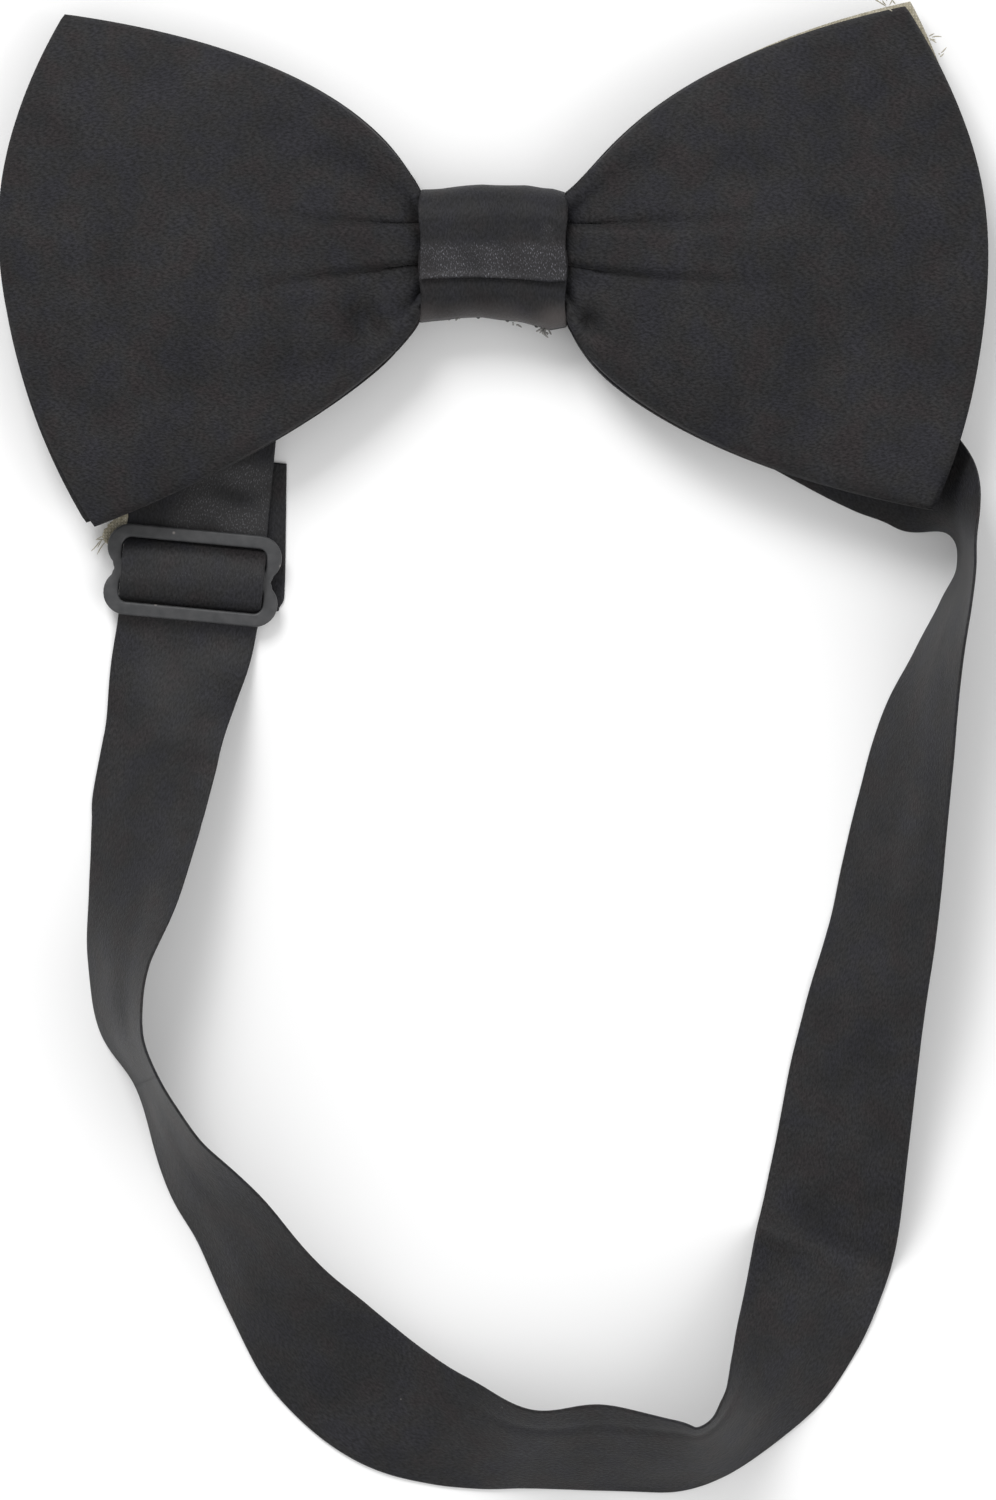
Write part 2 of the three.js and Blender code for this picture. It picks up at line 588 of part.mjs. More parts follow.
// The layer that comes up from the neck, over the middle bar and on to the clasp hook.
function throughRun() {
  const besideLoop = barSide + LAYER; // as near the middle as this layer can stand beside the sewn loop
  const arch = [
    [slotFar, throughLevel],
    [lerp(besideLoop, slotFar, 0.55), throughLevel + 0.4],
    [lerp(besideLoop, slotFar, 0.28), loopTop],
    [besideLoop - 0.5, archTop],
  ];
  const points = [
    [-RUN_END, half],
    [-RUN_END + 5, half],
    [-slotFar - 7.6, half + 0.05],
    [-slotFar - 3.6, half + 0.5],
    [-slotFar - 1.2, throughLevel - 0.1],
    ...arch.map(([y, z]) => [-y, z]),
    [0, archTop + 0.1],
    ...arch.reverse(),
    [slotFar + 3.6, throughLevel],
    [hookFoldStart - 8, throughLevel],
    [hookFoldStart - 3, throughLevel + 0.3],
    [hookFoldStart - END_GAP, overHook],
  ];
  const curve = new THREE.CatmullRomCurve3(points.map(([y, z]) => vec(0, y, z)), false, "centripetal");
  const stations = curve.getSpacedPoints(90).map((centre) => {
    const roll = THREE.MathUtils.degToRad(RUN_ROLL * smooth(6, RUN_END, -centre.y));
    const lift = (BAND_WIDTH / 2) * Math.sin(roll);
    const level = vec(1, -runSlope(centre.y)).normalize().multiplyScalar(Math.cos(roll));
    centre.set(runSwing(centre.y), centre.y, centre.z + lift);
    return { centre, across: level.setZ(Math.sin(roll)), width: BAND_WIDTH };
  });
  return ribbon(stations);
}
piece(adjuster, "band_through_run", throughRun(), BRIGHT_SATIN);

// ---- Clasp hook, and the band's folds round it ----------------------------------------------------------

function hookFold() {
  const points = [
    [hookFoldStart, overHook],
    [hookBarNear, overHook],
    ...turn(hookBarFar, overHook, returnLevel, 1),
    [hookBarNear, returnLevel],
    [hookFoldEnd, returnLevel],
  ];
  return foldedStrip(points, BAND_WIDTH, 36);
}
piece(adjuster, "band_hook_fold", hookFold(), BRIGHT_SATIN);

// The layer that comes back from the hook to the slide, over the flap.
function returnRun() {
  const points = [
    [loopReturnEnd + END_GAP, returnLevel],
    [hookFoldEnd - END_GAP, returnLevel],
  ];
  return foldedStrip(points, BAND_WIDTH, 4);
}
piece(adjuster, "band_return_run", returnRun(), BRIGHT_SATIN);

function claspHook() {
  const halfX = BAND_WIDTH / 2 + HOOK_SIDE;
  const body = rectanglePath(new THREE.Shape(), halfX, hookBarNear, hookTop, 1.2);
  const slotEnd = hookBarFar + HOOK_SLOT;
  body.holes.push(rectanglePath(new THREE.Path(), SLOT_HALF_LENGTH, hookBarFar, slotEnd, SLOT_CORNER));
  const base = plate(body, HARDWARE, HOOK_UNDERSIDE, 4);
  const over = eyeTop + GAP + TONGUE_THICKNESS / 2;
  const under = EYE_UNDERSIDE - GAP - TONGUE_THICKNESS / 2;
  const middle = HOOK_UNDERSIDE + HARDWARE / 2;
  const points = [
    [hookTop - HOOK_BAR / 2, middle],
    [hookTop, middle + 0.05],
    [hookTop + 0.9, over],
    [eyeBarNear - 0.5, over],
    ...turn(eyeBarFar, over, under, 1),
    [eyeBarNear - 0.6, under],
  ];
  return joined(base, foldedStrip(points, TONGUE_WIDTH, 32, TONGUE_THICKNESS));
}
piece(adjuster, "clasp_hook", claspHook(), COATED_METAL);

// ---- Clasp eye, and the fold of the band that holds it --------------------------------------------------

const eyeHalfX = EYE_INNER_WIDTH / 2 + EYE_BAR;
const eyeLength = BAND_WIDTH + 2 * (EYE_CLEARANCE + EYE_BAR);

function claspEye() {
  const outer = rectanglePath(new THREE.Shape(), eyeHalfX, eyeBarNear, eyeBarNear + eyeLength, 1.6);
  outer.holes.push(
    rectanglePath(new THREE.Path(), eyeHalfX - EYE_BAR, eyeBarFar, eyeBarNear + eyeLength - EYE_BAR, 0.6),
  );
  return plate(outer, EYE_THICKNESS, EYE_UNDERSIDE, 4);
}
piece(adjuster, "clasp_eye", claspEye(), COATED_METAL);

const eyeMiddle = eyeBarNear + eyeLength / 2;
const eyeBarLeft = EYE_INNER_WIDTH / 2;
const eyeBarRight = eyeBarLeft + EYE_BAR;
const foldOver = eyeTop + GAP + half;
const foldUnder = EYE_UNDERSIDE - GAP - half;
const eyeFoldEnd = eyeBarRight + EYE_FOLD_LENGTH;

// Drawn along Y as the other folds are, then turned to run along X.
function eyeFold() {
  const points = [
    [eyeFoldEnd - 2, foldUnder],
    ...turn(eyeBarLeft, foldUnder, foldOver, -1),
    [eyeBarRight + 1, foldOver],
    [eyeBarRight + 6, foldUnder + LAYER + 0.2],
    [eyeBarRight + 8, foldUnder + LAYER],
    [eyeFoldEnd, foldUnder + LAYER],
  ];
  const fold = foldedStrip(points, BAND_WIDTH, 44);
  return fold.rotateZ(-Math.PI / 2).translate(0, eyeMiddle, 0);
}
piece(adjuster, "band_eye_fold", eyeFold(), BRIGHT_SATIN);

// Bar tacks that hold the fold shut.
for (const side of [-1, 1]) {
  const mesh = piece(adjuster, side < 0 ? "eye_tack_lower" : "eye_tack_upper", stitch(), THREAD);
  const height = foldUnder + LAYER + half + STITCH_RADIUS + GAP / 2;
  mesh.position.set(eyeFoldEnd - 2.5, eyeMiddle + side * (BAND_WIDTH / 4), height);
}

// ---- Neck band ------------------------------------------------------------------------------------------
// From below the slide down, round the neck, up and under the right wing, through the knot and on to the eye's
// fold.

// Stations of the band's middle as { x, y, roll, width, lift }.
function neckRoute() {
  adjuster.updateMatrixWorld(true);
  const start = adjuster.localToWorld(vec(runSwing(-RUN_END - END_GAP), -RUN_END - END_GAP));
  const startLead = adjuster.localToWorld(vec(runSwing(-RUN_END - START_LEAD), -RUN_END - START_LEAD));
  const end = adjuster.localToWorld(vec(eyeFoldEnd + END_GAP, eyeMiddle));
  const endLead = adjuster.localToWorld(vec(eyeFoldEnd + END_GAP + END_LEAD, eyeMiddle));
  const endLift = foldUnder + LAYER - half;
  const [cornerX, cornerY] = cornerPlace(RIGHT_WING, RIGHT_WING.bottom);
  const side = (fromX, fromY, rows) =>
    rows.map(([out, down, roll]) => ({ x: fromX * out, y: lerp(fromY, -LOOP_REACH, down), roll }));
  return [
    { x: start.x, y: start.y, roll: RUN_ROLL },
    { x: startLead.x, y: startLead.y, roll: RUN_ROLL + START_LEAD / 2 },
    ...side(start.x, start.y, LEFT_ROUTE),
    ...side(cornerX, cornerY, RIGHT_ROUTE),
    ...CORNER_ROUTE.map(([x, y, roll, gather]) => ({
      x: cornerX + x,
      y: cornerY + y,
      roll,
      width: BAND_WIDTH - gather,
    })),
    ...KNOT_ROUTE.map(([x, y, width, lift]) => ({ x: KNOT_WIDTH / 2 + x, y, width, lift })),
    { x: -KNOT_WIDTH / 2, y: KNOT_EXIT + endLead.y / 2, width: BAND_IN_KNOT, lift: KNOT_LIFT },
    { x: endLead.x, y: endLead.y, lift: endLift },
    { x: end.x, y: end.y, lift: endLift },
  ];
}

function neckBand() {
  const route = neckRoute();
  const spline = (points) => new THREE.CatmullRomCurve3(points, false, "catmullrom", 0.5);
  const line = spline(route.map(({ x, y }) => vec(x, y)));
  const twist = spline(route.map(({ roll = 0, width = BAND_WIDTH, lift = 0 }) => vec(roll, width, lift)));
  const stations = [];
  for (let i = 0; i <= BAND_STEPS; i++) {
    const t = i / BAND_STEPS;
    const { x, y } = line.getPoint(t);
    const along = line.getTangent(t);
    const { x: degrees, y: width, z: lift } = twist.getPoint(t);
    const roll = THREE.MathUtils.degToRad(degrees);
    const inward = vec(-along.y, along.x).normalize();
    const rise = (width / 2) * Math.hypot(Math.sin(roll), ROLL_EASE);
    const height = Math.max(rise, lift) + half * Math.cos(roll);
    stations.push({
      centre: vec(x, y, height),
      across: inward.multiplyScalar(Math.cos(roll)).add(vec(0, 0, Math.sin(roll))),
      width,
    });
  }
  return ribbon(stations);
}
piece(tie, "neck_band", neckBand(), BRIGHT_SATIN);

export default tie;
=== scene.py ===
"""A black pre-tied satin bow tie on an adjustable neck band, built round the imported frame.

Sizes are in millimetres until a mesh is made. X runs to the right, Y up the photograph and Z out of it.
"""

import math

import bmesh
import bpy
import numpy as np
from mathutils import Matrix, Vector


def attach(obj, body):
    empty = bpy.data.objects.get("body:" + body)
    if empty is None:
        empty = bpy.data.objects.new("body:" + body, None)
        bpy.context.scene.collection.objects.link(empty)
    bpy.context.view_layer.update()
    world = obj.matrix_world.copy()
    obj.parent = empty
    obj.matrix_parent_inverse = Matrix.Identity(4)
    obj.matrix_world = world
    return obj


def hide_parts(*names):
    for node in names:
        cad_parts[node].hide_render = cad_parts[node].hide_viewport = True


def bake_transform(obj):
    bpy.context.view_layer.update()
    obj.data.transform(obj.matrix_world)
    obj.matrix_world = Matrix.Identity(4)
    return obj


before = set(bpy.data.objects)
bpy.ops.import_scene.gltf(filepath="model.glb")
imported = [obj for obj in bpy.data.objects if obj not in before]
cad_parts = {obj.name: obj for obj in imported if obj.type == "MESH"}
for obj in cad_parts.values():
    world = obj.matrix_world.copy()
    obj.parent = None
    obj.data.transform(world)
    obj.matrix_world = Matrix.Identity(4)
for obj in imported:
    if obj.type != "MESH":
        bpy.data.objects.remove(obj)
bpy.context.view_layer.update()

MM = 0.001

# ---- Sizes ----
# They are the CAD model's, but for CANVAS_INSET, FLAP_LENGTH, LOOP_DROP and the right wing's upper edge,
# which are fitted to what shows. A wing's belly and flare bend its outer and long edges.

CLOTH = 0.4
GAP = 0.2
LAYER = CLOTH + GAP
HALF = CLOTH / 2
BAND_WIDTH = 19

REACH = 67
LEFT_WING = {
    "side": -1,
    "belly": (1.0, 0.1),
    "top": {"inset": 9.1, "height": 32.5, "along": 0.175, "up": 0.82, "flare": 0.2},
    "bottom": {"inset": 13.2, "height": -36.8, "along": 0.255, "up": 0.65, "flare": 1.0},
}
RIGHT_WING = {
    "side": 1,
    "belly": (1.05, 0.14),
    "top": {"inset": 11.3, "height": 33.6, "along": 0.255, "up": 0.775, "flare": -0.9},
    "bottom": {"inset": 7.6, "height": -34.6, "along": 0.21, "up": 0.785, "flare": 1.4},
}
PANEL_COUNT = 6
WAIST_LAYER = 1.1
WAIST_SIDE_CLEARANCE = 0.3
EDGE_PITCH = 0.9
REAR_EDGE_HEIGHT = 4.7
RISE_END = 0.6
THIN_END = 0.25
CURVE_POWER = 1.5
TOP_CORNER_DROOP = 2.4
REAR_OVERHANG = 1.2
CANVAS_INSET = 2.0
CANVAS_SHOW = 0.8

KNOT_WIDTH = 19.8
KNOT_HALF_HEIGHT = 9.2
WRAP_WALL = 0.6
WRAP_BACK_RADIUS = 1.6
WRAP_FRONT_RADIUS = 5
PAD_THICKNESS = 1.8
BAND_KNOT_CLEARANCE = 2.3
WAIST_UNDERSIDE = WRAP_WALL + GAP + LAYER
WAIST_TOP = WAIST_UNDERSIDE + PANEL_COUNT * (WAIST_LAYER + GAP)
KNOT_DEPTH = WAIST_TOP + PAD_THICKNESS + GAP + WRAP_WALL
BAND_IN_KNOT = 2 * (KNOT_HALF_HEIGHT - WRAP_WALL - BAND_KNOT_CLEARANCE)
KNOT_LIFT = WRAP_WALL + GAP

SLIDE_CENTRE = (-40.7, -43.3)
SLIDE_TILT = math.radians(-5.4)
SLIDE_HEIGHT = 12.4
SLIDE_BAR = 1.8
SLIDE_SIDE = 2.1
SLIDE_THICKNESS = 1
SLOT_HALF_LENGTH = BAND_WIDTH / 2 + 0.25
LOBE_NOTCH = 1.1
THROUGH = 2 * LAYER + HALF
SLIDE_UNDERSIDE = 3 * LAYER + 0.1
SLOT_FAR = SLIDE_HEIGHT / 2 - SLIDE_BAR
FLAP_LENGTH = 16.3
FLAP_SHIFT = 3.2
FLAP_LEAN = 1.3
LOOP_DROP = 3.3
LOOP_RETURN_END = SLIDE_HEIGHT / 2 + 1
RUN_END = 24
RUN_SWING = 0.13
RUN_ROLL = 30

HARDWARE = 0.8
HOOK_NEAR = 23.6
HOOK_FAR = 25.4
HOOK_TOP = 29.8
HOOK_UNDERSIDE = 2 * LAYER
HOOK_FOLD_START = 22.7
HOOK_FOLD_END = 17.6
EYE_NEAR = HOOK_TOP + 4
EYE_BAR = 1.3
EYE_FAR = EYE_NEAR + EYE_BAR
EYE_UNDERSIDE = LAYER + GAP
EYE_THICKNESS = 0.7
EYE_TOP = EYE_UNDERSIDE + EYE_THICKNESS
EYE_LENGTH = BAND_WIDTH + 4
EYE_MIDDLE = EYE_NEAR + EYE_LENGTH / 2
EYE_FOLD_END = 17.3

FLAP = HALF
RETURN = LAYER + HALF
BAR_TOP = SLIDE_UNDERSIDE + SLIDE_THICKNESS
LOOP_TOP = BAR_TOP + GAP + HALF
ARCH_TOP = LOOP_TOP + LAYER
OVER_HOOK = HOOK_UNDERSIDE + HARDWARE + GAP + HALF

LOOP_REACH = 161
LEFT_ROUTE = [
    (1.046, 0.112, 39),
    (1.078, 0.2, 49),
    (1.118, 0.296, 63),
    (1.113, 0.396, 72),
    (1.038, 0.477, 79),
    (0.931, 0.577, 69),
    (0.796, 0.668, 56),
    (0.665, 0.771, 45),
    (0.514, 0.863, 27),
    (0.333, 0.936, 20),
    (0.133, 0.979, 34),
]
RIGHT_ROUTE = [
    (0.067, 1.003, 53),
    (0.244, 1.006, 53),
    (0.404, 1.011, 57),
    (0.494, 1.006, 65),
    (0.584, 0.975, 61),
    (0.654, 0.925, 41),
    (0.7, 0.874, 26),
    (0.736, 0.822, 13),
    (0.765, 0.77, -6),
    (0.793, 0.69, -20),
    (0.819, 0.609, -26),
    (0.852, 0.529, -35),
    (0.89, 0.449, -44),
    (0.927, 0.342, -51),
    (0.963, 0.235, -58),
    (1.008, 0.157, -69),
    (1.049, 0.102, -78),
    (1.076, 0.059, -82),
]
CORNER_ROLL = 20
CORNER_GATHER = 3.5
CORNER_CLEARANCE = 2.8
CORNER_ROUTE = [
    (3.8, -1.7, -70, 1),
    (-0.4, 3.3, -CORNER_ROLL, CORNER_GATHER),
    (-5.6, 7.5, -8, 1),
    (-12.7, 11.8, -2, 0),
]
CORNER_BAND_HEIGHT = (BAND_WIDTH - CORNER_GATHER) * math.sin(math.radians(CORNER_ROLL))
CORNER_LIFT = CORNER_BAND_HEIGHT + CORNER_CLEARANCE - REAR_EDGE_HEIGHT
KNOT_ROUTE = [
    (23.1, -15.1, BAND_WIDTH, 0),
    (13.1, -9.2, BAND_WIDTH - 2, 0.1),
    (6.1, -4.2, BAND_IN_KNOT + 0.5, 0.4),
    (0.6, -1.3, BAND_IN_KNOT, KNOT_LIFT),
    (-KNOT_WIDTH / 2, -0.9, BAND_IN_KNOT, KNOT_LIFT),
]
KNOT_EXIT = -0.6

# ---- Geometry helpers ----


def smooth(low, high, x):
    """A soft step from 0 at low to 1 at high."""
    t = np.clip((np.asarray(x, float) - low) / (high - low), 0, 1)
    return t * t * (3 - 2 * t)


def lerp(a, b, t):
    return a + (b - a) * t


def bell(*parts):
    """A smooth bump, 1 where every part is 0 and almost gone where one of them is 2."""
    return np.exp(-sum(part**2 for part in parts))


def unit(vectors):
    return vectors / np.linalg.norm(vectors, axis=-1, keepdims=True)


def steps(points):
    """How far each point of a line is from the one before."""
    return np.linalg.norm(np.diff(points, axis=0), axis=1)


def distances(points):
    """How far along a line each of its points is."""
    return np.concatenate([[0], np.cumsum(steps(points))])


def resample(points, length, at):
    return np.stack([np.interp(at, length, column) for column in points.T], axis=1)


def unit_normals(grid):
    normal = np.cross(np.gradient(grid, axis=0), np.gradient(grid, axis=1))
    return normal / np.maximum(np.linalg.norm(normal, axis=2, keepdims=True), 1e-9)


def spline(rows, t, power=0.0):
    """Points of a Catmull-Rom curve through rows at shares t. Power 0 is uniform, 0.5 centripetal."""
    rows = np.asarray(rows, float)
    p = np.vstack([2 * rows[0] - rows[1], rows, 2 * rows[-1] - rows[-2]])
    x = np.clip(np.asarray(t, float) * (len(rows) - 1), 0, len(rows) - 1 - 1e-9)
    i = x.astype(int)
    u = (x - i)[:, None]
    p0, p1, p2, p3 = p[i], p[i + 1], p[i + 2], p[i + 3]

    def span(a, b):
        return np.maximum(np.linalg.norm(b - a, axis=1, keepdims=True), 1e-6) ** power

    d0, d1, d2 = span(p0, p1), span(p1, p2), span(p2, p3)
    m1 = ((p1 - p0) / d0 - (p2 - p0) / (d0 + d1) + (p2 - p1) / d1) * d1
    m2 = ((p2 - p1) / d1 - (p3 - p1) / (d1 + d2) + (p3 - p2) / d2) * d1
    return (
        (2 * u**3 - 3 * u**2 + 1) * p1
        + (u**3 - 2 * u**2 + u) * m1
        + (3 * u**2 - 2 * u**3) * p2
        + (u**3 - u**2) * m2
    )


def even(points, step):
    """The same line with points about step apart."""
    length = distances(points)
    return resample(points, length, np.linspace(0, length[-1], max(int(length[-1] / step), 2) + 1))


def curve(rows, step):
    """A smooth line through rows, with points about step apart."""
    return even(spline(rows, np.linspace(0, 1, 40 * len(rows)), 0.5), step)


def in_adjuster(points):
    """Takes points from the adjuster's own frame to the tie's."""
    points = np.array(points, float)
    x, y = points[..., 0].copy(), points[..., 1].copy()
    c, s = math.cos(SLIDE_TILT), math.sin(SLIDE_TILT)
    points[..., 0] = SLIDE_CENTRE[0] + c * x - s * y
    points[..., 1] = SLIDE_CENTRE[1] + s * x + c * y
    return points


def columns(width, count):
    """Places across a strip, from -width/2 to width/2, closer together at the edges."""
    edge = [0, 0.05, 0.16, 0.36]
    half = width / 2
    inner = np.linspace(-half + 0.8, half - 0.8, count)
    return np.concatenate([[-half + e for e in edge], inner, [half - e for e in reversed(edge)]])


def ripple(a, b, seed, scale):
    """A gentle unevenness from a few crossed waves, between about -1 and 1."""
    rng = np.random.default_rng(seed)
    total = 0
    for _ in range(7):
        angle, phase, stretch = rng.uniform(0, 2 * math.pi), rng.uniform(0, 6.3), rng.uniform(0.7, 1.7)
        k = 2 * math.pi / (scale * stretch)
        total += np.sin(k * (a * math.cos(angle) + b * math.sin(angle)) + phase)
    return total / 4


def add_object(name, data):
    obj = bpy.data.objects.new(name, data)
    bpy.context.scene.collection.objects.link(obj)
    return obj


def new_object(name, points, faces, material):
    mesh = bpy.data.meshes.new(name)
    mesh.from_pydata((np.asarray(points) * MM).tolist(), [], faces)
    mesh.shade_smooth()
    mesh.materials.append(material)
    obj = add_object(name, mesh)
    return obj


EDGE_ROUND = 0.25  # a sheet's side edges are rounded over this width
EDGE_CUT = 0.93  # and its thickness follows a circle to this share of the way out


def cloth(name, grid, thickness, material, polish_and_painted_shine=0, painted_sheen=0, start=0):
    """A closed sheet round a grid of points, rows along it and columns across, with rounded side edges.

    The two marks after the material give where it is polished and has a painted highlight, and where a
    painted sheen lightens it; start is where its weave starts, for a piece that carries on from another.
    """
    n, m, _ = grid.shape
    normal = unit_normals(grid)
    half = np.broadcast_to(np.asarray(thickness, float) / 2, (n, m)).copy()
    step = np.linalg.norm(np.diff(grid, axis=1), axis=2)
    v = np.concatenate([np.zeros((n, 1)), np.cumsum(step, axis=1)], axis=1)
    inside = np.minimum(v, v[:, -1:] - v)
    half *= np.sqrt(1 - np.clip(1 - inside / EDGE_ROUND, 0, EDGE_CUT) ** 2)
    over = grid + normal * half[..., None]
    under = grid - normal * half[..., None]
    points = np.concatenate([over.reshape(-1, 3), under.reshape(-1, 3)])
    o = np.arange(n * m).reshape(n, m)
    u = o + n * m

    def quads(a, b, c, d):
        return np.stack([a, b, c, d], axis=-1).reshape(-1, 4)

    faces = np.concatenate(
        [
            quads(o[:-1, :-1], o[1:, :-1], o[1:, 1:], o[:-1, 1:]),
            quads(u[:-1, :-1], u[:-1, 1:], u[1:, 1:], u[1:, :-1]),
            quads(o[:-1, 0], u[:-1, 0], u[1:, 0], o[1:, 0]),
            quads(o[1:, -1], u[1:, -1], u[:-1, -1], o[:-1, -1]),
            quads(o[0, 1:], u[0, 1:], u[0, :-1], o[0, :-1]),
            quads(o[-1, :-1], u[-1, :-1], u[-1, 1:], o[-1, 1:]),
        ]
    )
    obj = new_object(name, points, faces.tolist(), material)
    end_faces = 2 * (m - 1)
    obj.data.polygons.foreach_set("use_smooth", np.arange(len(faces)) < len(faces) - end_faces)
    middle = m // 2
    run = start + distances(grid[:, middle])
    uv = np.stack([v - v[:, middle : middle + 1], np.broadcast_to(run[:, None], (n, m))], axis=-1)
    uv = np.concatenate([uv.reshape(-1, 2)] * 2)
    loops = np.empty(len(obj.data.loops), int)
    obj.data.loops.foreach_get("vertex_index", loops)
    obj.data.uv_layers.new(name="Weave").data.foreach_set("uv", uv[loops].ravel().astype(np.float32))
    for key, value in (("polish_and_painted_shine", polish_and_painted_shine), ("painted_sheen", painted_sheen)):
        data = np.concatenate([np.broadcast_to(value, (n, m)).ravel()] * 2).astype(np.float32)
        obj.data.attributes.new(key, "FLOAT", "POINT").data.foreach_set("value", data)
    return obj


ASIDE = np.array([0.31, 0.17, 0.93])  # a direction that no thread runs along


def tubes(name, lines, radius, material, body, replaced=(), sides=5):
    """Round threads along lines, thinner at their ends, all in one piece."""
    points, faces = [], []
    for line in lines:
        tangent = unit(np.gradient(line, axis=0))
        side = unit(np.cross(tangent, ASIDE))
        up = np.cross(side, tangent)
        base = len(points)
        n = len(line)
        for i in range(n):
            size = radius * min(1, 0.45 + 2.2 * min(i, n - 1 - i) / n)
            for k in range(sides):
                angle = 2 * math.pi * k / sides
                points.append(line[i] + size * (math.cos(angle) * side[i] + math.sin(angle) * up[i]))
        for i in range(n - 1):
            for k in range(sides):
                a = base + i * sides + k
                b = base + i * sides + (k + 1) % sides
                faces.append((a, a + sides, b + sides, b))
        faces.append([base + k for k in range(sides)])
        faces.append([base + (n - 1) * sides + k for k in reversed(range(sides))])
    obj = new_object(name, points, faces, material)
    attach(obj, body)
    if replaced:
        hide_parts(*replaced)


# ---- Materials ----


def node(tree, kind, values=None, links=None, **settings):
    """A shader node with its input values, the sockets linked into it and its own settings."""
    made = tree.nodes.new("ShaderNode" + kind)
    for key, value in settings.items():
        setattr(made, key, value)
    for key, value in (values or {}).items():
        made.inputs[key].default_value = value
    for key, socket in (links or {}).items():
        tree.links.new(socket, made.inputs[key])
    return made


def ramp(tree, socket, stops):
    """A colour ramp. A stop is a place and a colour, or a place and one grey value."""
    made = node(tree, "ValToRGB", links={"Fac": socket})
    elements = made.color_ramp.elements
    while len(elements) < len(stops):
        elements.new(0.5)
    for element, (at, colour) in zip(elements, stops):
        element.position = at
        element.color = (*colour, 1) if len(colour) == 3 else (colour[0],) * 3 + (1,)
    return made.outputs["Color"]


def mix(tree, fac, a, b, blend="MIX"):
    made = node(tree, "Mix", data_type="RGBA", blend_type=blend)
    for key, value in ((0, fac), (6, a), (7, b)):
        if isinstance(value, bpy.types.NodeSocket):
            tree.links.new(value, made.inputs[key])
        else:
            made.inputs[key].default_value = value if key == 0 else (*value, 1)
    return made.outputs[2]


def start_material(name, roughness, specular, **sockets):
    """A material with its node tree and shader. In a socket's name _ stands for a space."""
    material = bpy.data.materials.new(name)
    material.use_nodes = True
    tree = material.node_tree
    shader = tree.nodes["Principled BSDF"]
    shader.inputs["Roughness"].default_value = roughness
    shader.inputs["Specular IOR Level"].default_value = specular
    for key, value in sockets.items():
        shader.inputs[key.replace("_", " ")].default_value = value
    return material, tree, shader


def noise(tree, vector, scale, detail=2, roughness=0.5):
    values = {"Scale": scale, "Detail": detail, "Roughness": roughness}
    return node(tree, "TexNoise", values, {"Vector": vector}).outputs["Fac"]


def turned(tree, uv, scale, angle):
    """The cloth's own coordinates, turned and stretched."""
    values = {"Scale": (*scale, 1), "Rotation": (0, 0, angle)}
    return node(tree, "Mapping", values, {"Vector": uv}).outputs["Vector"]


def flecks(tree, place, scale, core, rim, strength=1):
    """Scattered specks: full inside the core radius and gone at the rim."""
    near = node(tree, "TexVoronoi", {"Scale": scale}, {"Vector": place}).outputs["Distance"]
    return ramp(tree, near, [(core, (strength,)), (rim, (0,))])


def product(tree, a, b):
    return node(tree, "Math", links={0: a, 1: b}, operation="MULTIPLY").outputs[0]


def mark(tree, name):
    return node(tree, "Attribute", attribute_name=name).outputs["Fac"]


def bump(tree, height, strength, distance, **links):
    values = {"Strength": strength, "Distance": distance}
    return node(tree, "Bump", values, {"Height": height, **links}).outputs["Normal"]


def finish_shader(tree, shader, colour, normal):
    tree.links.new(colour, shader.inputs["Base Color"])
    tree.links.new(normal, shader.inputs["Normal"])


HUES = [(0.36, (0.95, 0.96, 1.1)), (0.52, (1, 1, 1)), (0.66, (1.09, 0.96, 0.96))]  # blue to red mottle
# The colour of the painted sheen near the knot's lower edge.
PAINTED_SHEEN_COLOUR = (0.15, 0.135, 0.13)
SPECK = (0.16, 0.15, 0.14)
PAINTED_SHINE_COLOUR = 1.55  # how much lighter a painted highlight makes a patch than the cloth
SHINE_POLISH = 0.6  # and its share of the cloth's roughness


def satin(name, dark, light, painted_glint_colour, roughness, specular, sheen, grain):
    """Black satin: mottled colour, grain along the cloth, lint, and a painted highlight with glints of
    sparkling threads where it shines.
    """
    sockets = {"Sheen_Weight": sheen, "Sheen_Roughness": 0.4}
    material, tree, shader = start_material(name, roughness, specular, **sockets)
    place = node(tree, "TexCoord").outputs["Object"]
    uv = node(tree, "UVMap", uv_map="Weave").outputs["UV"]
    cloud = noise(tree, place, 130, 4, 0.6)
    threads = noise(tree, turned(tree, uv, (3.6, 1.7), 0.5), 1, 3, 0.65)
    dashes = noise(tree, turned(tree, uv, (6.6, 3.0), -0.45), 1)
    base = ramp(tree, cloud, [(0.33, dark), (0.67, light)])
    base = mix(tree, 1.0, base, ramp(tree, noise(tree, place, 210), HUES), "MULTIPLY")
    shade = ramp(tree, threads, [(0.36, (1 - grain,)), (0.64, (1 + grain,))])
    base = mix(tree, 1.0, base, shade, "MULTIPLY")
    # Painted highlight where the cloth is marked to shine: a lighter colour, and painted glints of sparkling
    # threads.
    polish_and_painted_shine = mark(tree, "polish_and_painted_shine")
    base = mix(tree, polish_and_painted_shine, base, tuple(c * PAINTED_SHINE_COLOUR for c in light))
    painted_glints = product(tree, polish_and_painted_shine, ramp(tree, dashes, [(0.56, (0,)), (0.72, (1,))]))
    base = mix(tree, painted_glints, base, painted_glint_colour)
    # Painted sheen where the cloth is marked for it.
    base = mix(tree, mark(tree, "painted_sheen"), base, PAINTED_SHEEN_COLOUR)
    base = mix(tree, flecks(tree, place, 75, 0.0, 0.013), base, SPECK)
    normal = bump(tree, cloud, 0.35, 0.0006, Normal=bump(tree, threads, 0.6, 0.00016))
    finish_shader(tree, shader, base, normal)
    values = {"To Min": roughness, "To Max": roughness * SHINE_POLISH}
    polish = node(tree, "MapRange", values, {"Value": polish_and_painted_shine})
    tree.links.new(polish.outputs["Result"], shader.inputs["Roughness"])
    return material


WAVE = 0.314  # a wave texture's threads are this far apart, in metres, at a scale of 1


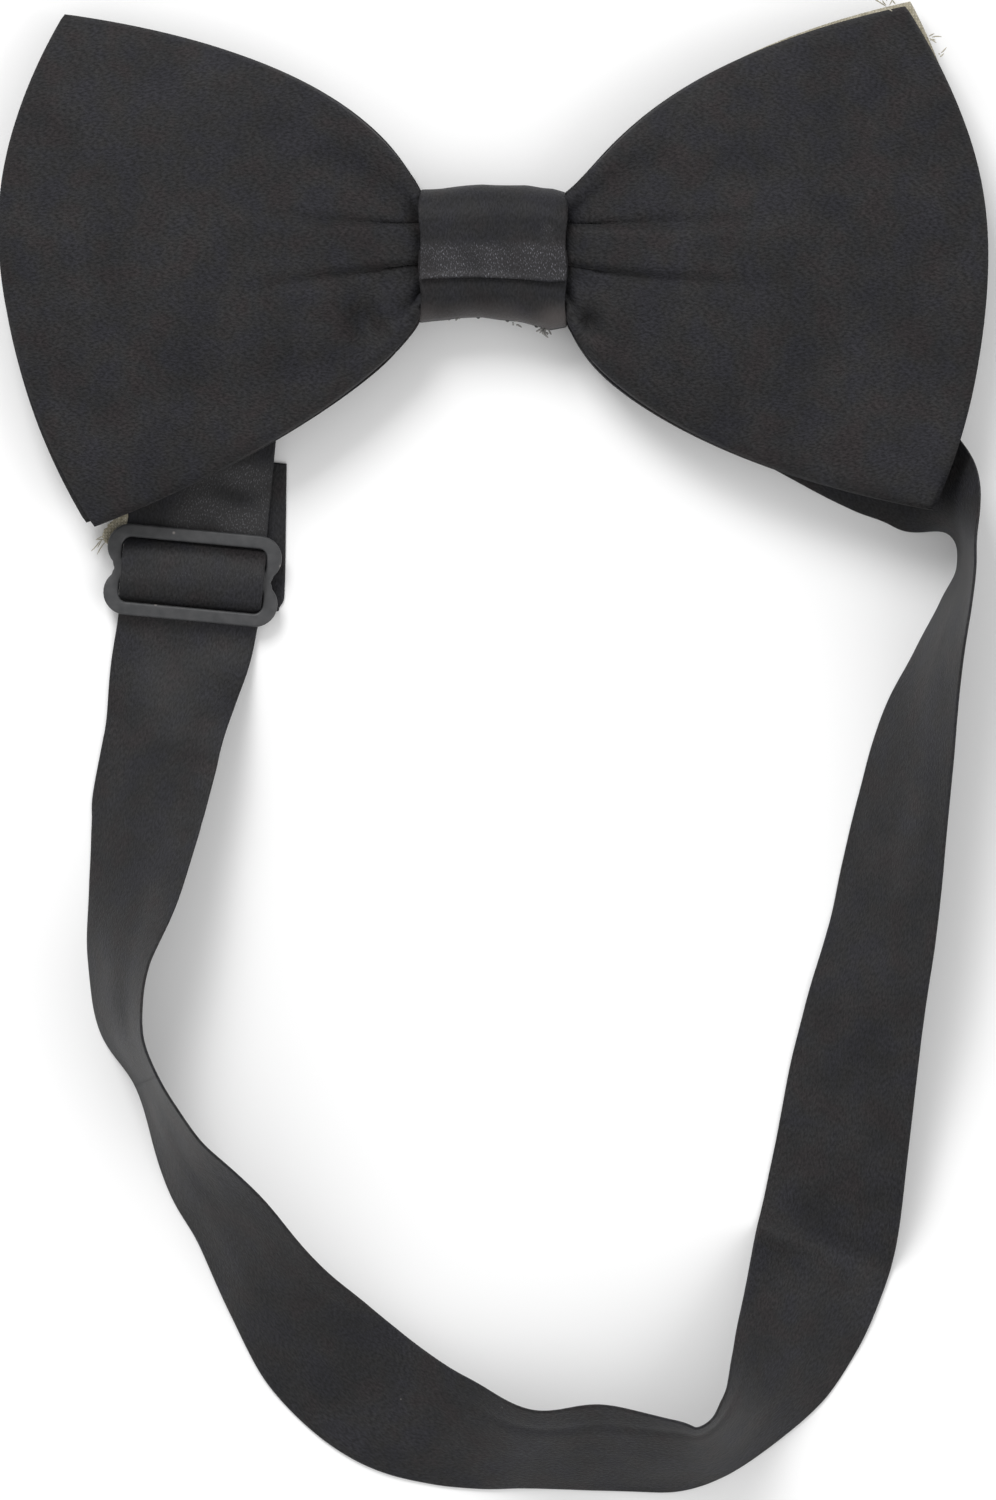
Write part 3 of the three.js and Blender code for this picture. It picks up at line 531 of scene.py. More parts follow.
def woven(name, dark, light, roughness, pitch):
    """Plain-woven cloth or packed fibre: two crossed sets of threads over a mottled colour."""
    material, tree, shader = start_material(name, roughness, 0.2, Sheen_Weight=0.2)
    place = node(tree, "TexCoord").outputs["Object"]
    values = {"Scale": WAVE / (pitch * MM), "Distortion": 1.2}
    sets = [
        node(tree, "TexWave", values, {"Vector": place}, bands_direction=way).outputs["Fac"]
        for way in ("X", "Y")
    ]
    both = product(tree, *sets)
    base = ramp(tree, noise(tree, place, 900, 4), [(0.35, dark), (0.65, light)])
    shade = ramp(tree, both, [(0, (0.72,)), (0.8, (1.1,))])
    finish_shader(tree, shader, mix(tree, 1.0, base, shade, "MULTIPLY"), bump(tree, both, 0.6, 0.00015))
    return material


def coated_metal(name):
    """Black enamel on pressed metal: slightly pitted, with flecks of wear."""
    material, tree, shader = start_material(name, 0.42, 0.35)
    place = node(tree, "TexCoord").outputs["Object"]
    stops = [(0.3, (0.036, 0.037, 0.039)), (0.7, (0.056, 0.056, 0.058))]
    base = ramp(tree, noise(tree, place, 700, 5), stops)
    base = mix(tree, flecks(tree, place, 420, 0.04, 0.11, 0.8), base, (0.22, 0.2, 0.19))
    finish_shader(tree, shader, base, bump(tree, noise(tree, place, 3200, 3), 0.3, 0.00005))
    return material


# Each satin's dark and light colours, then the colour of its painted glints.
BOW_COLOURS = (0.0155, 0.0155, 0.0163), (0.022, 0.0215, 0.022), (0.05, 0.05, 0.055)
STRAP_COLOURS = (0.0122, 0.0122, 0.0129), (0.0192, 0.0187, 0.0195), (0.13, 0.13, 0.14)
KNOT_COLOURS = (0.0112, 0.0112, 0.012), (0.0165, 0.016, 0.0172), (0.17, 0.17, 0.19)
BOW_SATIN = satin("bow_satin", *BOW_COLOURS, 0.64, 0.12, 0.05, 0.45)
STRAP_SATIN = satin("strap_satin", *STRAP_COLOURS, 0.54, 0.2, 0.05, 0.45)
KNOT_SATIN = satin("knot_satin", *KNOT_COLOURS, 0.52, 0.17, 0.03, 0.42)
CANVAS = woven("canvas", (0.3, 0.27, 0.19), (0.5, 0.46, 0.36), 0.85, 0.42)
WADDING = woven("wadding", (0.5, 0.49, 0.46), (0.62, 0.61, 0.58), 0.95, 0.9)
THREAD = woven("thread", (0.012, 0.012, 0.013), (0.03, 0.03, 0.032), 0.6, 0.16)
LINT = woven("lint", (0.3, 0.29, 0.28), (0.5, 0.49, 0.47), 0.9, 0.16)
PALE_THREAD = woven("pale_thread", (0.42, 0.38, 0.28), (0.6, 0.56, 0.45), 0.8, 0.16)
METAL = coated_metal("coated_metal")

# ---- Camera, light and floor ----

VIEW_HEIGHT = 202.95
VIEW_CENTRE = (0.68, -66.97)
CAMERA_HEIGHT = 2000
FOCUS_HEIGHT = 5  # the height over the floor where the view is VIEW_HEIGHT high
SENSOR = 36

camera_data = bpy.data.cameras.new("camera")
camera_data.sensor_width = SENSOR
camera_data.lens = SENSOR * (CAMERA_HEIGHT - FOCUS_HEIGHT) / VIEW_HEIGHT
camera = add_object("camera", camera_data)
camera.location = (VIEW_CENTRE[0] * MM, VIEW_CENTRE[1] * MM, CAMERA_HEIGHT * MM)
bpy.context.scene.camera = camera
bpy.context.scene.view_settings.view_transform = "Standard"


def area_light(name, place, size, power):
    """A soft light at place, in metres, aimed at the middle of the tie."""
    data = bpy.data.lights.new(name, "AREA")
    data.size = size
    data.energy = power
    light = add_object(name, data)
    light.location = place
    aim = Vector((VIEW_CENTRE[0] * MM, VIEW_CENTRE[1] * MM, 0)) - light.location
    light.rotation_euler = aim.to_track_quat("-Z", "Y").to_euler()


area_light("key_light", (-0.35, 0.75, 0.9), 0.5, 9)
area_light("fill_light", (0.9, -0.5, 1.0), 0.9, 4)

world = bpy.data.worlds.new("studio")
world.use_nodes = True
background = world.node_tree.nodes["Background"]
background.inputs["Color"].default_value = (1, 1, 1, 1)
background.inputs["Strength"].default_value = 0.75
bpy.context.scene.world = world

FLOOR_DROP = 0.00005
FLOOR_CORNERS = [(-3, -3), (3, -3), (3, 3), (-3, 3)]
floor_mesh = bpy.data.meshes.new("floor")
floor_mesh.from_pydata([(*corner, -FLOOR_DROP) for corner in FLOOR_CORNERS], [], [(0, 1, 2, 3)])
floor = add_object("floor", floor_mesh)
floor_material, _, floor_shader = start_material("paper", 0.9, 0.1)
floor_shader.inputs["Base Color"].default_value = (0.9, 0.9, 0.9, 1)
floor_mesh.materials.append(floor_material)

# ---- Bow ----

WING_STEPS = 96
WAIST_STEPS = 6
PANEL_ROWS = 84
PLEAT_FULL = 9.7  # pleats have their full depth from here outwards, and none inside the knot
PLEAT_START = 7.4

# The middle pleat's two creases, as (distance from the centre line, height), and how high the pleat stands.
PLEATS = {
    -1: {
        "upper": [(9, 3.8), (23.3, 4.2), (30, 5), (35.7, 6.0), (48, 9)],
        "lower": [(9, -0.9), (21.8, -3.0), (27, -3.9), (32.9, -4.6), (48, -6.4)],
        "fade": (13, 40),
    },
    1: {
        "upper": [(9, 3.8), (30.4, 3.9), (37, 4.5), (44, 5.5), (56, 7.5)],
        "lower": [(9, -1.0), (14, -2.1), (20.7, -3.2), (29, -3.9), (50, -4.8)],
        "fade": (13, 46),
    },
}
PLEAT_HEIGHT = 0.95
PLEAT_GROOVE = 0.62
# Soft folds that fan out from the knot: side, place from -1 (bottom edge) to 1 (top edge), height, width,
# and the share of the wing where each one has gone.
GATHERS = [
    (-1, 0.86, 0.55, 0.13, 0.75),
    (-1, 0.62, -0.65, 0.13, 0.62),
    (-1, -0.42, 0.4, 0.12, 0.55),
    (-1, -0.66, -0.5, 0.1, 0.4),
    (-1, -0.88, 0.5, 0.12, 0.8),
    (1, 0.9, 0.7, 0.12, 0.8),
    (1, 0.68, -0.5, 0.12, 0.6),
    (1, -0.4, 0.35, 0.14, 0.6),
    (1, -0.62, -0.45, 0.1, 0.3),
    (1, -0.85, 0.4, 0.12, 0.7),
]
# Dimples and swellings, as (x, y, radius along X, radius along Y, height).
DIMPLES = [
    (-17.7, -8.6, 2.0, 3.0, -2.0),
    (-13.2, -8.6, 2.2, 2.4, 1.1),
    (-20.5, -6.2, 3.5, 1.6, 0.35),
    (-24, -12.5, 5, 3.2, 0.7),
    (-34, -11, 7, 4, 0.35),
    (-26, 8.5, 7, 3, -0.5),
    (-19, 15, 6, 3, 0.45),
    (13.1, -9.0, 1.4, 2.0, -1.5),
    (15.8, -9.6, 1.4, 2.6, 0.55),
    (11.4, -7.2, 1.3, 1.6, 0.6),
    (25, -15, 6, 3.5, 0.5),
    (22, 15, 7, 4, 0.55),
    (30, 9.5, 8, 3.5, -0.4),
]
WAIST_TUCK = 0.84  # the lower half of a bow is squeezed to this share of its height inside the knot
FLARE_AT = 0.13  # share of the wing at which its edge flares out most beside the knot
RIM_CURL = 0.69
RIM_WIDTH = 1.9
RIPPLE = 0.16
RIPPLE_LENGTH = 17


def knot_room(height):
    """Half the room inside the knot wrap at a height over the floor."""
    radius = WRAP_FRONT_RADIUS - WRAP_WALL
    over = max(height - (KNOT_DEPTH - WRAP_FRONT_RADIUS), 0)
    return KNOT_HALF_HEIGHT - WRAP_FRONT_RADIUS + math.sqrt(radius**2 - over**2)


def wing_edge(wing, corner, waist, grow, s):
    """A wing's upper or lower edge at shares s of the way from the knot to the corner, as (x, y) points."""
    start = np.array([wing["side"] * KNOT_WIDTH / 2, waist + math.copysign(1, waist) * grow])
    height = corner["height"] + math.copysign(1, corner["height"]) * grow
    end = np.array([wing["side"] * (REACH - corner["inset"] + grow), height])
    towards = np.array([lerp(start[0], end[0], corner["along"]), corner["up"] * end[1]])
    s = s[:, None]
    flare = corner["flare"] * math.copysign(1, waist) * (s / FLARE_AT) * np.exp(1 - s / FLARE_AT)
    return (1 - s) ** 2 * start + 2 * s * (1 - s) * towards + s**2 * end + flare * np.array([0, 1])


def relief(side, x, y, s, w):
    """How far the pleats, gathers and dimples of a bow's face stand out of its smooth form."""
    out = np.abs(x)
    pleat = PLEATS[side]
    upper = np.interp(out, *zip(*pleat["upper"]))
    lower = np.interp(out, *zip(*pleat["lower"]))
    lip = 0.35 + 0.045 * np.maximum(out - 9, 0)
    ridge = smooth(-0.1, 1, (upper - y) / lip) * smooth(-0.1, 1, (y - lower) / lip)
    groove = bell((y - upper) / lip) + bell((y - lower) / lip)
    fade = 1 - smooth(*pleat["fade"], out)
    total = fade * (PLEAT_HEIGHT * ridge - PLEAT_GROOVE * groove)
    for at, place, height, width, gone in GATHERS:
        if at == side:
            total += height * bell((w - place) / width) * (1 - smooth(0.05, gone, s))
    for cx, cy, rx, ry, height in DIMPLES:
        total += height * bell((x - cx) / rx, (y - cy) / ry)
    return total * smooth(PLEAT_START, PLEAT_FULL, out)


def bow_grid(order, puff, grow, wings, share, curl, seed):
    """The middle of one panel of a bow, and each row's share of the way from the knot to the wing's end.

    share is how much of the face's relief the panel follows past the waist.
    """
    waist_height = WAIST_UNDERSIDE + WAIST_LAYER / 2 + order * (WAIST_LAYER + GAP)
    edge_height = REAR_EDGE_HEIGHT + order * EDGE_PITCH
    waist = knot_room(waist_height + WAIST_LAYER / 2) - WAIST_SIDE_CLEARANCE
    w = np.linspace(-1, 1, PANEL_ROWS + 1)
    s = np.linspace(0, 1, WING_STEPS + 1) ** 1.15
    sides = []
    for wing in wings:
        side = wing["side"]
        top = wing_edge(wing, wing["top"], waist, grow, s)
        bottom = wing_edge(wing, wing["bottom"], -waist, grow, s)
        share_up = ((w + 1) / 2)[None, :, None]
        xy = bottom[:, None] + (top - bottom)[:, None] * share_up
        swell = (wing["top"]["inset"] + wing["bottom"]["inset"]) / 2
        full, less_below = wing["belly"]
        swell = swell * (full - less_below * smooth(-0.5, 0.5, -w)) * (1 - w**2)
        x = xy[..., 0] + side * swell[None] * (s**CURVE_POWER)[:, None]
        y = xy[..., 1]
        ss, ww = s[:, None], w[None]
        height = lerp(waist_height, edge_height, smooth(0, RISE_END, ss))
        height = height + puff * np.sin(math.pi * ss) * (1 - 0.7 * ww**2)
        height = height - TOP_CORNER_DROOP * ss**3 * np.maximum(ww, 0) ** 2
        if side > 0:
            height = height + CORNER_LIFT * ss**3 * np.maximum(-ww, 0) ** 2
        near = 1 - smooth(0.02, 0.3, ss)
        height = height + relief(side, x, y, ss, ww) * np.maximum(near, share)
        height = height + RIPPLE * ripple(x, y, seed, RIPPLE_LENGTH) * smooth(0.1, 0.4, ss) * max(share, 0.4)
        half_height = (top - bottom)[:, None, 1] / 2
        from_edge = np.minimum((1 - np.abs(ww)) * half_height, (1 - ss) * REACH * 0.86)
        height = height + curl * np.clip(1 - from_edge / RIM_WIDTH, 0, 1) ** 2 * smooth(0.04, 0.2, ss)
        sides.append(np.stack([x, y, height], axis=-1))
    left, right = sides
    across = np.linspace(0, 1, WAIST_STEPS + 1)[1:-1, None, None]
    inside = left[:1] + (right[:1] - left[:1]) * across
    inside[..., 1] *= np.where(inside[..., 1] < 0, WAIST_TUCK, 1)
    shares = np.concatenate([s[::-1], np.zeros(WAIST_STEPS - 1), s])
    return np.concatenate([left[::-1], inside, right]), shares


def moved_corner(wing, name, out, more):
    """The wing with one corner further out and further from the middle line."""
    corner = dict(wing[name])
    corner["inset"] -= out
    corner["height"] += math.copysign(1, corner["height"]) * more
    return {**wing, name: corner}


rear_left = moved_corner(LEFT_WING, "bottom", REAR_OVERHANG, -REAR_OVERHANG / 2)
rear_wings = [rear_left, RIGHT_WING]
canvas_out = CANVAS_INSET + CANVAS_SHOW
canvas_wings = [rear_left, moved_corner(RIGHT_WING, "top", canvas_out, canvas_out)]
front_wings = [LEFT_WING, RIGHT_WING]
# Each panel's name, CAD node, order from the back, puff, growth, wings, share of the relief, rim curl,
# material and slot.
PANELS = [
    ("bow_rear_lining", "rear_bow_backing", 0, 0, 0, rear_wings, 0, RIM_CURL, BOW_SATIN, "bow_satin"),
    ("bow_rear_canvas", "rear_bow_interlining", 1, 0.5, -CANVAS_INSET, canvas_wings, 0, 0, CANVAS, "canvas"),
    ("bow_rear_satin", "rear_bow_face", 2, 0.8, 0, rear_wings, 0.1, -RIM_CURL, BOW_SATIN, "bow_satin"),
    ("bow_front_lining", "front_bow_backing", 3, 1.4, 0, front_wings, 0.1, RIM_CURL, BOW_SATIN, "bow_satin"),
    ("bow_front_canvas", "front_bow_interlining", 4, 4.1, -CANVAS_INSET, front_wings, 1, 0, CANVAS, "canvas"),
    ("bow_front_satin", "front_bow_face", 5, 4.6, 0, front_wings, 1, -RIM_CURL, BOW_SATIN, "bow_satin"),
]
BOW_CUT = (0.069, 0.128)  # the rectangle a satin panel was cut to before it was pleated into the knot
CUT_GROWTH = 3  # a panel that is smaller all round is cut smaller by this many times as much
for name, cad_node, order, puff, grow, wings, share, curl, look, slot_name in PANELS:
    grid, along = bow_grid(order, puff, grow, wings, share, curl, seed=11 + order // 3)
    thickness = lerp(WAIST_LAYER, CLOTH, smooth(0, THIN_END, along))[:, None]
    panel = cloth(name, grid, thickness, look)
    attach(panel, "root")
    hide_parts(cad_node)
    cut = tuple(size + CUT_GROWTH * grow * MM for size in BOW_CUT)

# ---- Knot ----

FOLD_AT = -3.5  # the wrap's folded end lies across the front here
TUCK = 0.75  # how much deeper the wrap's first turn lies, under the folded end
KNOT_ROWS = 46
# The knot's upper and lower outline: places along X, and how far from the middle the cloth reaches there.
KNOT_TOP = ([-9.9, -7, -4, -1.5, 4.5, 6.8, 8.2, 9.9], [8.9, 9.0, 9.3, 9.55, 9.5, 9.1, 9.0, 8.5])
KNOT_BOTTOM = ([-9.9, -8, -4.5, -1.5, 1, 4, 6, 7.6, 9.9], [9.2, 8.9, 8.5, 8.45, 8.8, 9.15, 9.7, 10.2, 9.7])


def arc(cy, cz, radius, start, stop, count=9):
    """Points of an arc between two angles in degrees."""
    angles = np.radians(np.linspace(start, stop, count))
    return np.stack([cy + radius * np.cos(angles), cz + radius * np.sin(angles)], axis=1)


def wrap_line(inset):
    """The wrap's section in (y, z), from under the fold round the back and over the front to the fold."""
    half, low, high = KNOT_HALF_HEIGHT - inset, inset, KNOT_DEPTH - inset
    back, front = WRAP_BACK_RADIUS - inset, WRAP_FRONT_RADIUS - inset
    return np.concatenate(
        [
            [[0.5, high], [-2, high]],
            arc(-half + front, high - front, front, 90, 180, 15),
            arc(-half + back, low + back, back, 180, 270),
            arc(half - back, low + back, back, 270, 360),
            arc(half - front, high - front, front, 0, 90, 15),
            [[2, high], [0, high], [FOLD_AT + 1, high], [FOLD_AT, high]],
        ]
    )


def knot_wrap():
    """The wrap's grid, with wrinkles and the knot's outline, where it is polished with a painted highlight,
    and where a sheen is painted on it.
    """
    line = even(wrap_line(WRAP_WALL / 2), 0.22)
    count = len(line)
    turn = np.linspace(0, 1, count)[:, None]
    tangent = unit(np.gradient(line, axis=0))
    outward = np.stack([tangent[:, 1], -tangent[:, 0]], axis=1)
    x = columns(KNOT_WIDTH, KNOT_ROWS)
    y = np.broadcast_to(line[:, :1], (count, len(x))).copy()
    z = np.broadcast_to(line[:, 1:], (count, len(x))).copy()
    depth = -TUCK * (1 - smooth(0.085, 0.2, turn))
    lip = 0.14 * bell((1 - turn) / 0.012)
    wrinkle = 0.05 * ripple(x[None] * 0.35, turn * 60, 5, 5.5) * smooth(0.06, 0.2, turn)
    sag = 0.08 * ripple(x[None], turn * 60, 8, 9)
    push = depth + lip + wrinkle + sag
    y += outward[:, :1] * push
    z += outward[:, 1:] * push
    top, bottom = np.interp(x, *KNOT_TOP), np.interp(x, *KNOT_BOTTOM)
    y = np.where(y > 0, y * (top / KNOT_HALF_HEIGHT)[None], y * (bottom / KNOT_HALF_HEIGHT)[None])
    edge = 0.12 * np.sin(turn * 40) + 0.1 * np.sin(turn * 23 + 1)
    xx = x[None] + edge * smooth(0.5, 1, np.abs(x[None]) / (KNOT_WIDTH / 2)) * np.sign(x[None])
    grid = np.stack([xx, y, z], axis=-1)
    front = z > KNOT_DEPTH / 2
    # Painted highlight: a bright strip across the front from the folded end upwards, with a patch towards the
    # right side, lightly mottled.
    side_patch = bell((grid[..., 0] - 7.4) / 0.9) * (1 - smooth(3.2, 4.6, y)) * 0.6
    painted_glow = smooth(-3.9, -3.2, y) * np.maximum(1 - smooth(0.4, 2.2, y), side_patch) * front
    painted_glow = painted_glow * (0.72 + 0.28 * ripple(grid[..., 0], y, 3, 4)) * (turn > 0.5)
    # Painted sheen: lighter towards the knot's lower edge on the front of the first turn, where the satin
    # curves away.
    painted_sheen_mask = (1 - smooth(-9.4, -5.6, y)) * smooth(3, 9, z) * (turn < 0.5)
    painted_sheen = painted_sheen_mask * (0.7 + 0.3 * ripple(grid[..., 0], y, 6, 5))
    return grid, np.clip(painted_glow, 0, 1), np.clip(painted_sheen, 0, 1) * 0.5


grid, polish_and_painted_shine, painted_sheen = knot_wrap()
wrap = cloth("knot_satin_wrap", grid, CLOTH, KNOT_SATIN, polish_and_painted_shine, painted_sheen)
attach(wrap, "root")
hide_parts("knot_wrap")

PAD_SCALE = 10  # the cloth simulation works on the pad at this many times its size
PAD_VOXEL = 0.006
PAD_PRESSURE = 4
PAD_FRAMES = 15
PAD_SWELL = 0.0035


def knot_pad():
    """Wadding that fills the front of the wrap, puffed out by a cloth simulation."""
    inset = WRAP_WALL + GAP + 0.25
    half, high = KNOT_HALF_HEIGHT - inset - 1.4, KNOT_DEPTH - inset - 0.9
    front = WRAP_FRONT_RADIUS - inset
    low = WAIST_TOP + 0.1
    section = [p for p in arc(half - front, high - front, front, 0, 90) if p[1] > low]
    section = [(section[0][0] - 0.2, low)] + [tuple(p) for p in section]
    section = section + [(-a, b) for a, b in reversed(section)]
    width = KNOT_WIDTH - 2.6
    points = [(x, a, b) for x in (-width / 2, width / 2) for a, b in section]
    n = len(section)
    faces = [(i, (i + 1) % n, n + (i + 1) % n, n + i) for i in range(n)]
    faces += [list(range(n))[::-1], list(range(n, 2 * n))]
    pad = new_object("knot_pad", points, faces, WADDING)
    pad.data.transform(Matrix.Scale(PAD_SCALE, 4))
    bpy.context.view_layer.objects.active = pad
    remesh = pad.modifiers.new("remesh", "REMESH")
    remesh.mode = "VOXEL"
    remesh.voxel_size = PAD_VOXEL
    bpy.ops.object.modifier_apply(modifier=remesh.name)
    rest = np.array([v.co for v in pad.data.vertices])
    swell = pad.modifiers.new("cloth", "CLOTH")
    swell.settings.use_pressure = True
    swell.settings.uniform_pressure_force = PAD_PRESSURE
    swell.settings.effector_weights.gravity = 0
    for number in range(1, PAD_FRAMES + 1):
        bpy.context.scene.frame_set(number)
    bpy.ops.object.modifier_apply(modifier=swell.name)
    moved = np.array([v.co for v in pad.data.vertices]) - rest
    far = np.maximum(np.linalg.norm(moved, axis=1, keepdims=True), 1e-9)
    moved *= np.minimum(far, PAD_SWELL) / far
    pad.data.vertices.foreach_set("co", (rest + moved).ravel())
    bpy.context.scene.frame_set(1)
    pad.data.transform(Matrix.Scale(1 / PAD_SCALE, 4))
    pad.data.shade_smooth()
    return pad


pad = knot_pad()
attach(pad, "root")
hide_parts("knot_padding")

# ---- Strap ----

STRAP_COLUMNS = 31
STRAP_STEP = 0.55
ROLL_EASE = 0.06
START_LEAD = 7
END_LEAD = 3
JOIN_AT = 46  # the moving strap below the slide ends this far along the neck band
SWING_START = 4
SWING_BEND = 8


def half_turn(y, start, stop, side, x=0.0):
    """The (y, z, x) points of a half turn at y, from level start to level stop, bulging to one side."""
    middle, radius = (start + stop) / 2, abs(stop - start) / 2
    angles = [i * math.pi / 4 for i in range(5)]
    return [(y + side * radius * math.sin(a), middle + (start - middle) * math.cos(a), x) for a in angles]


def adjuster_line(rows, step=0.35):
    """A smooth line through (y, z) or (y, z, x) rows in the adjuster's frame, as (x, y, z) points."""
    full = [(*row, 0.0)[:3] for row in rows]
    return curve([(x, y, z) for y, z, x in full], step)


def strip_grid(rows, step=0.35, width=BAND_WIDTH, count=STRAP_COLUMNS):
    """A strip along a line through rows in the adjuster's frame, level across."""
    line = adjuster_line(rows, step)
    u = columns(width, count)
    grid = np.repeat(line[:, None, :], len(u), axis=1)
    grid[..., 0] += u[None]
    return in_adjuster(grid)


def run_swing(y):
    """How far the strap below the slide has swung aside at y: a bend and then a straight run."""
    reach = -y - SWING_START
    bend = np.clip(reach, 0, SWING_BEND)
    return -RUN_SWING * (bend**2 / SWING_BEND / 2 + np.maximum(reach - SWING_BEND, 0))


def through_line():
    """The middle of the layer from below the slide over its middle bar to the clasp hook."""
    bar_side = SLIDE_BAR / 2 + GAP + HALF
    arch = [
        (SLOT_FAR + 0.15, THROUGH),
        (SLOT_FAR - 0.25, THROUGH + 0.35),
        (SLOT_FAR - 0.7, THROUGH + 1.1),
        (bar_side + 1.7, LOOP_TOP - 0.05),
        (bar_side + 0.3, ARCH_TOP - 0.05),
    ]
    below = [
        (-RUN_END, HALF),
        (5 - RUN_END, HALF),
        (-SLOT_FAR - 7.6, HALF + 0.05),
        (-SLOT_FAR - 3.6, HALF + 0.5),
        (-SLOT_FAR - 1.3, THROUGH - 0.1),
    ]
    above = [
        (SLOT_FAR + 3.6, THROUGH),
        (HOOK_FOLD_START - 9.5, THROUGH + 0.1),
        (HOOK_FOLD_START - 5, OVER_HOOK - 0.05),
        (HOOK_FOLD_START, OVER_HOOK),
    ]
    rows = below + [(-y, z) for y, z in arch] + [(0, ARCH_TOP + 0.1)] + arch[::-1] + above
    return adjuster_line(rows, 0.3)


def run_grid(line):
    """The strap along the through line, which swings and rolls below the slide."""
    u = columns(BAND_WIDTH, STRAP_COLUMNS)
    y = line[:, 1]
    roll = np.radians(RUN_ROLL) * smooth(6, RUN_END, -y)
    slope = RUN_SWING * np.clip((-y - SWING_START) / SWING_BEND, 0, 1)
    level = np.stack([np.ones_like(y), -slope], axis=1) / np.sqrt(1 + slope**2)[:, None]
    centre = np.stack([run_swing(y), y, line[:, 2] + BAND_WIDTH / 2 * np.sin(roll)], axis=1)
    across = np.concatenate([level * np.cos(roll)[:, None], np.sin(roll)[:, None]], axis=1)
    spread = (2 * SLOT_HALF_LENGTH - 0.1 - BAND_WIDTH) / BAND_WIDTH
    full = 1 + spread * (1 - smooth(3, 7, np.abs(y)))
    return in_adjuster(centre[:, None] + across[:, None] * (u[None] * full[:, None])[..., None])


def neck_grid():
    """The neck band from below the slide to the clasp's eye, and each row's distance along it."""
    start, start_lead = [in_adjuster([run_swing(y), y, 0]) for y in (-RUN_END - 0.3, -RUN_END - START_LEAD)]
    end, end_lead = [in_adjuster([EYE_FOLD_END + 0.3 + lead, EYE_MIDDLE, 0]) for lead in (0, END_LEAD)]
    corner = (REACH - RIGHT_WING["bottom"]["inset"], RIGHT_WING["bottom"]["height"])
    lift = EYE_UNDERSIDE - GAP - CLOTH + LAYER
    rows = [(start[0], start[1], RUN_ROLL, BAND_WIDTH, 0)]
    rows.append((start_lead[0], start_lead[1], RUN_ROLL + START_LEAD / 2, BAND_WIDTH, 0))
    for (from_x, from_y), route in ((start[:2], LEFT_ROUTE), (corner, RIGHT_ROUTE)):
        for out, down, roll in route:
            rows.append((from_x * out, lerp(from_y, -LOOP_REACH, down), roll, BAND_WIDTH, 0))
    for x, y, roll, gather in CORNER_ROUTE:
        rows.append((corner[0] + x, corner[1] + y, roll, BAND_WIDTH - gather, 0))
    rows += [(KNOT_WIDTH / 2 + x, y, 0, width, up) for x, y, width, up in KNOT_ROUTE]
    rows.append((-KNOT_WIDTH / 2, KNOT_EXIT + end_lead[1] / 2, 0, BAND_IN_KNOT, KNOT_LIFT))
    rows += [(x, y, 0, BAND_WIDTH, lift) for x, y, _ in (end_lead, end)]
    line = spline(rows, np.linspace(0, 1, 4000))
    length = distances(line[:, :2])
    at = np.linspace(0, length[-1], int(length[-1] / STRAP_STEP))
    line = resample(line, length, at)
    x, y, roll, width, up = line.T
    roll = np.radians(roll)
    along = unit(np.gradient(line[:, :2], axis=0))
    across = np.stack([-along[:, 1] * np.cos(roll), along[:, 0] * np.cos(roll), np.sin(roll)], axis=1)
    height = np.maximum(width / 2 * np.hypot(np.sin(roll), ROLL_EASE), up) + HALF * np.cos(roll)
    u = columns(BAND_WIDTH, STRAP_COLUMNS) / BAND_WIDTH
    centre = np.stack([x, y, height], axis=1)
    return centre[:, None] + across[:, None] * (u[None, :, None] * width[:, None, None]), at


# Soft lengthwise creases of the neck band: where along it they start and end, their place across it from -1
# (outer edge) to 1 (inner edge), width and height.
CREASES = [
    (20, 80, 0.25, 0.22, -0.12),
    (50, 120, -0.2, 0.3, 0.12),
    (104, 196, 0.54, 0.075, -0.17),
    (240, 310, -0.3, 0.3, 0.12),
]
# Soft folds across it: place along it, place across it, length, width, height and slant.
DENTS = [
    (26, 0.3, 5, 0.5, -0.25, 2),
    (42, -0.3, 6, 0.5, 0.25, -3),
    (74, 0.3, 4, 0.4, 0.2, 3),
    (112, -0.3, 6, 0.5, 0.25, 3),
    (128, -0.3, 5, 0.4, -0.25, 3),
    (150, -0.8, 3, 0.35, 0.3, 3),
    (171, -0.7, 4, 0.4, -0.3, 3),
    (186, -0.2, 3.5, 0.5, -0.25, 4),
    (193, 0.1, 3.2, 0.6, 0.3, 4),
    (199, -0.3, 2.8, 0.5, -0.32, 5),
    (206, -0.3, 3, 0.6, 0.3, 5),
    (213, 0.3, 3.2, 0.5, -0.3, 5),
    (222, 0.0, 4, 0.6, 0.25, 4),
    (238, 0.2, 5, 0.5, -0.25, -4),
    (262, -0.2, 6, 0.5, 0.25, 4),
    (284, 0.2, 4, 0.6, -0.3, 5),
    (300, -0.1, 4, 0.6, 0.22, 4),
]
# Where the band's edges wander: place along it, length, and how far the inner and outer edges stand out.
EDGE_WANDER = [
    (24, 8, -0.5, 0),
    (32, 9, 0, -0.3),
    (93, 6, 0, 0.7),
    (108, 9, 0.35, 0),
    (122, 9, 0.35, 0.3),
    (163, 6, 0.9, 0),
    (184, 2.5, 0.6, 0),
    (262, 12, 0.6, 0),
    (292, 8, -0.7, 0),
    (309, 5, -0.9, -0.9),
]


def wander_edges(grid, run):
    """Moves the band's edges in and out, level with the floor."""
    u = np.linspace(-1, 1, grid.shape[1])[None]
    across = unit((grid[:, -1] - grid[:, 0]) * (1, 1, 0))
    move = 0
    for at, long, inner, outer in EDGE_WANDER:
        share = bell((run - at) / long)[:, None]
        move += share * (inner * np.clip(u, 0, 1) - outer * np.clip(-u, 0, 1))
    return grid + across[:, None] * move[..., None]


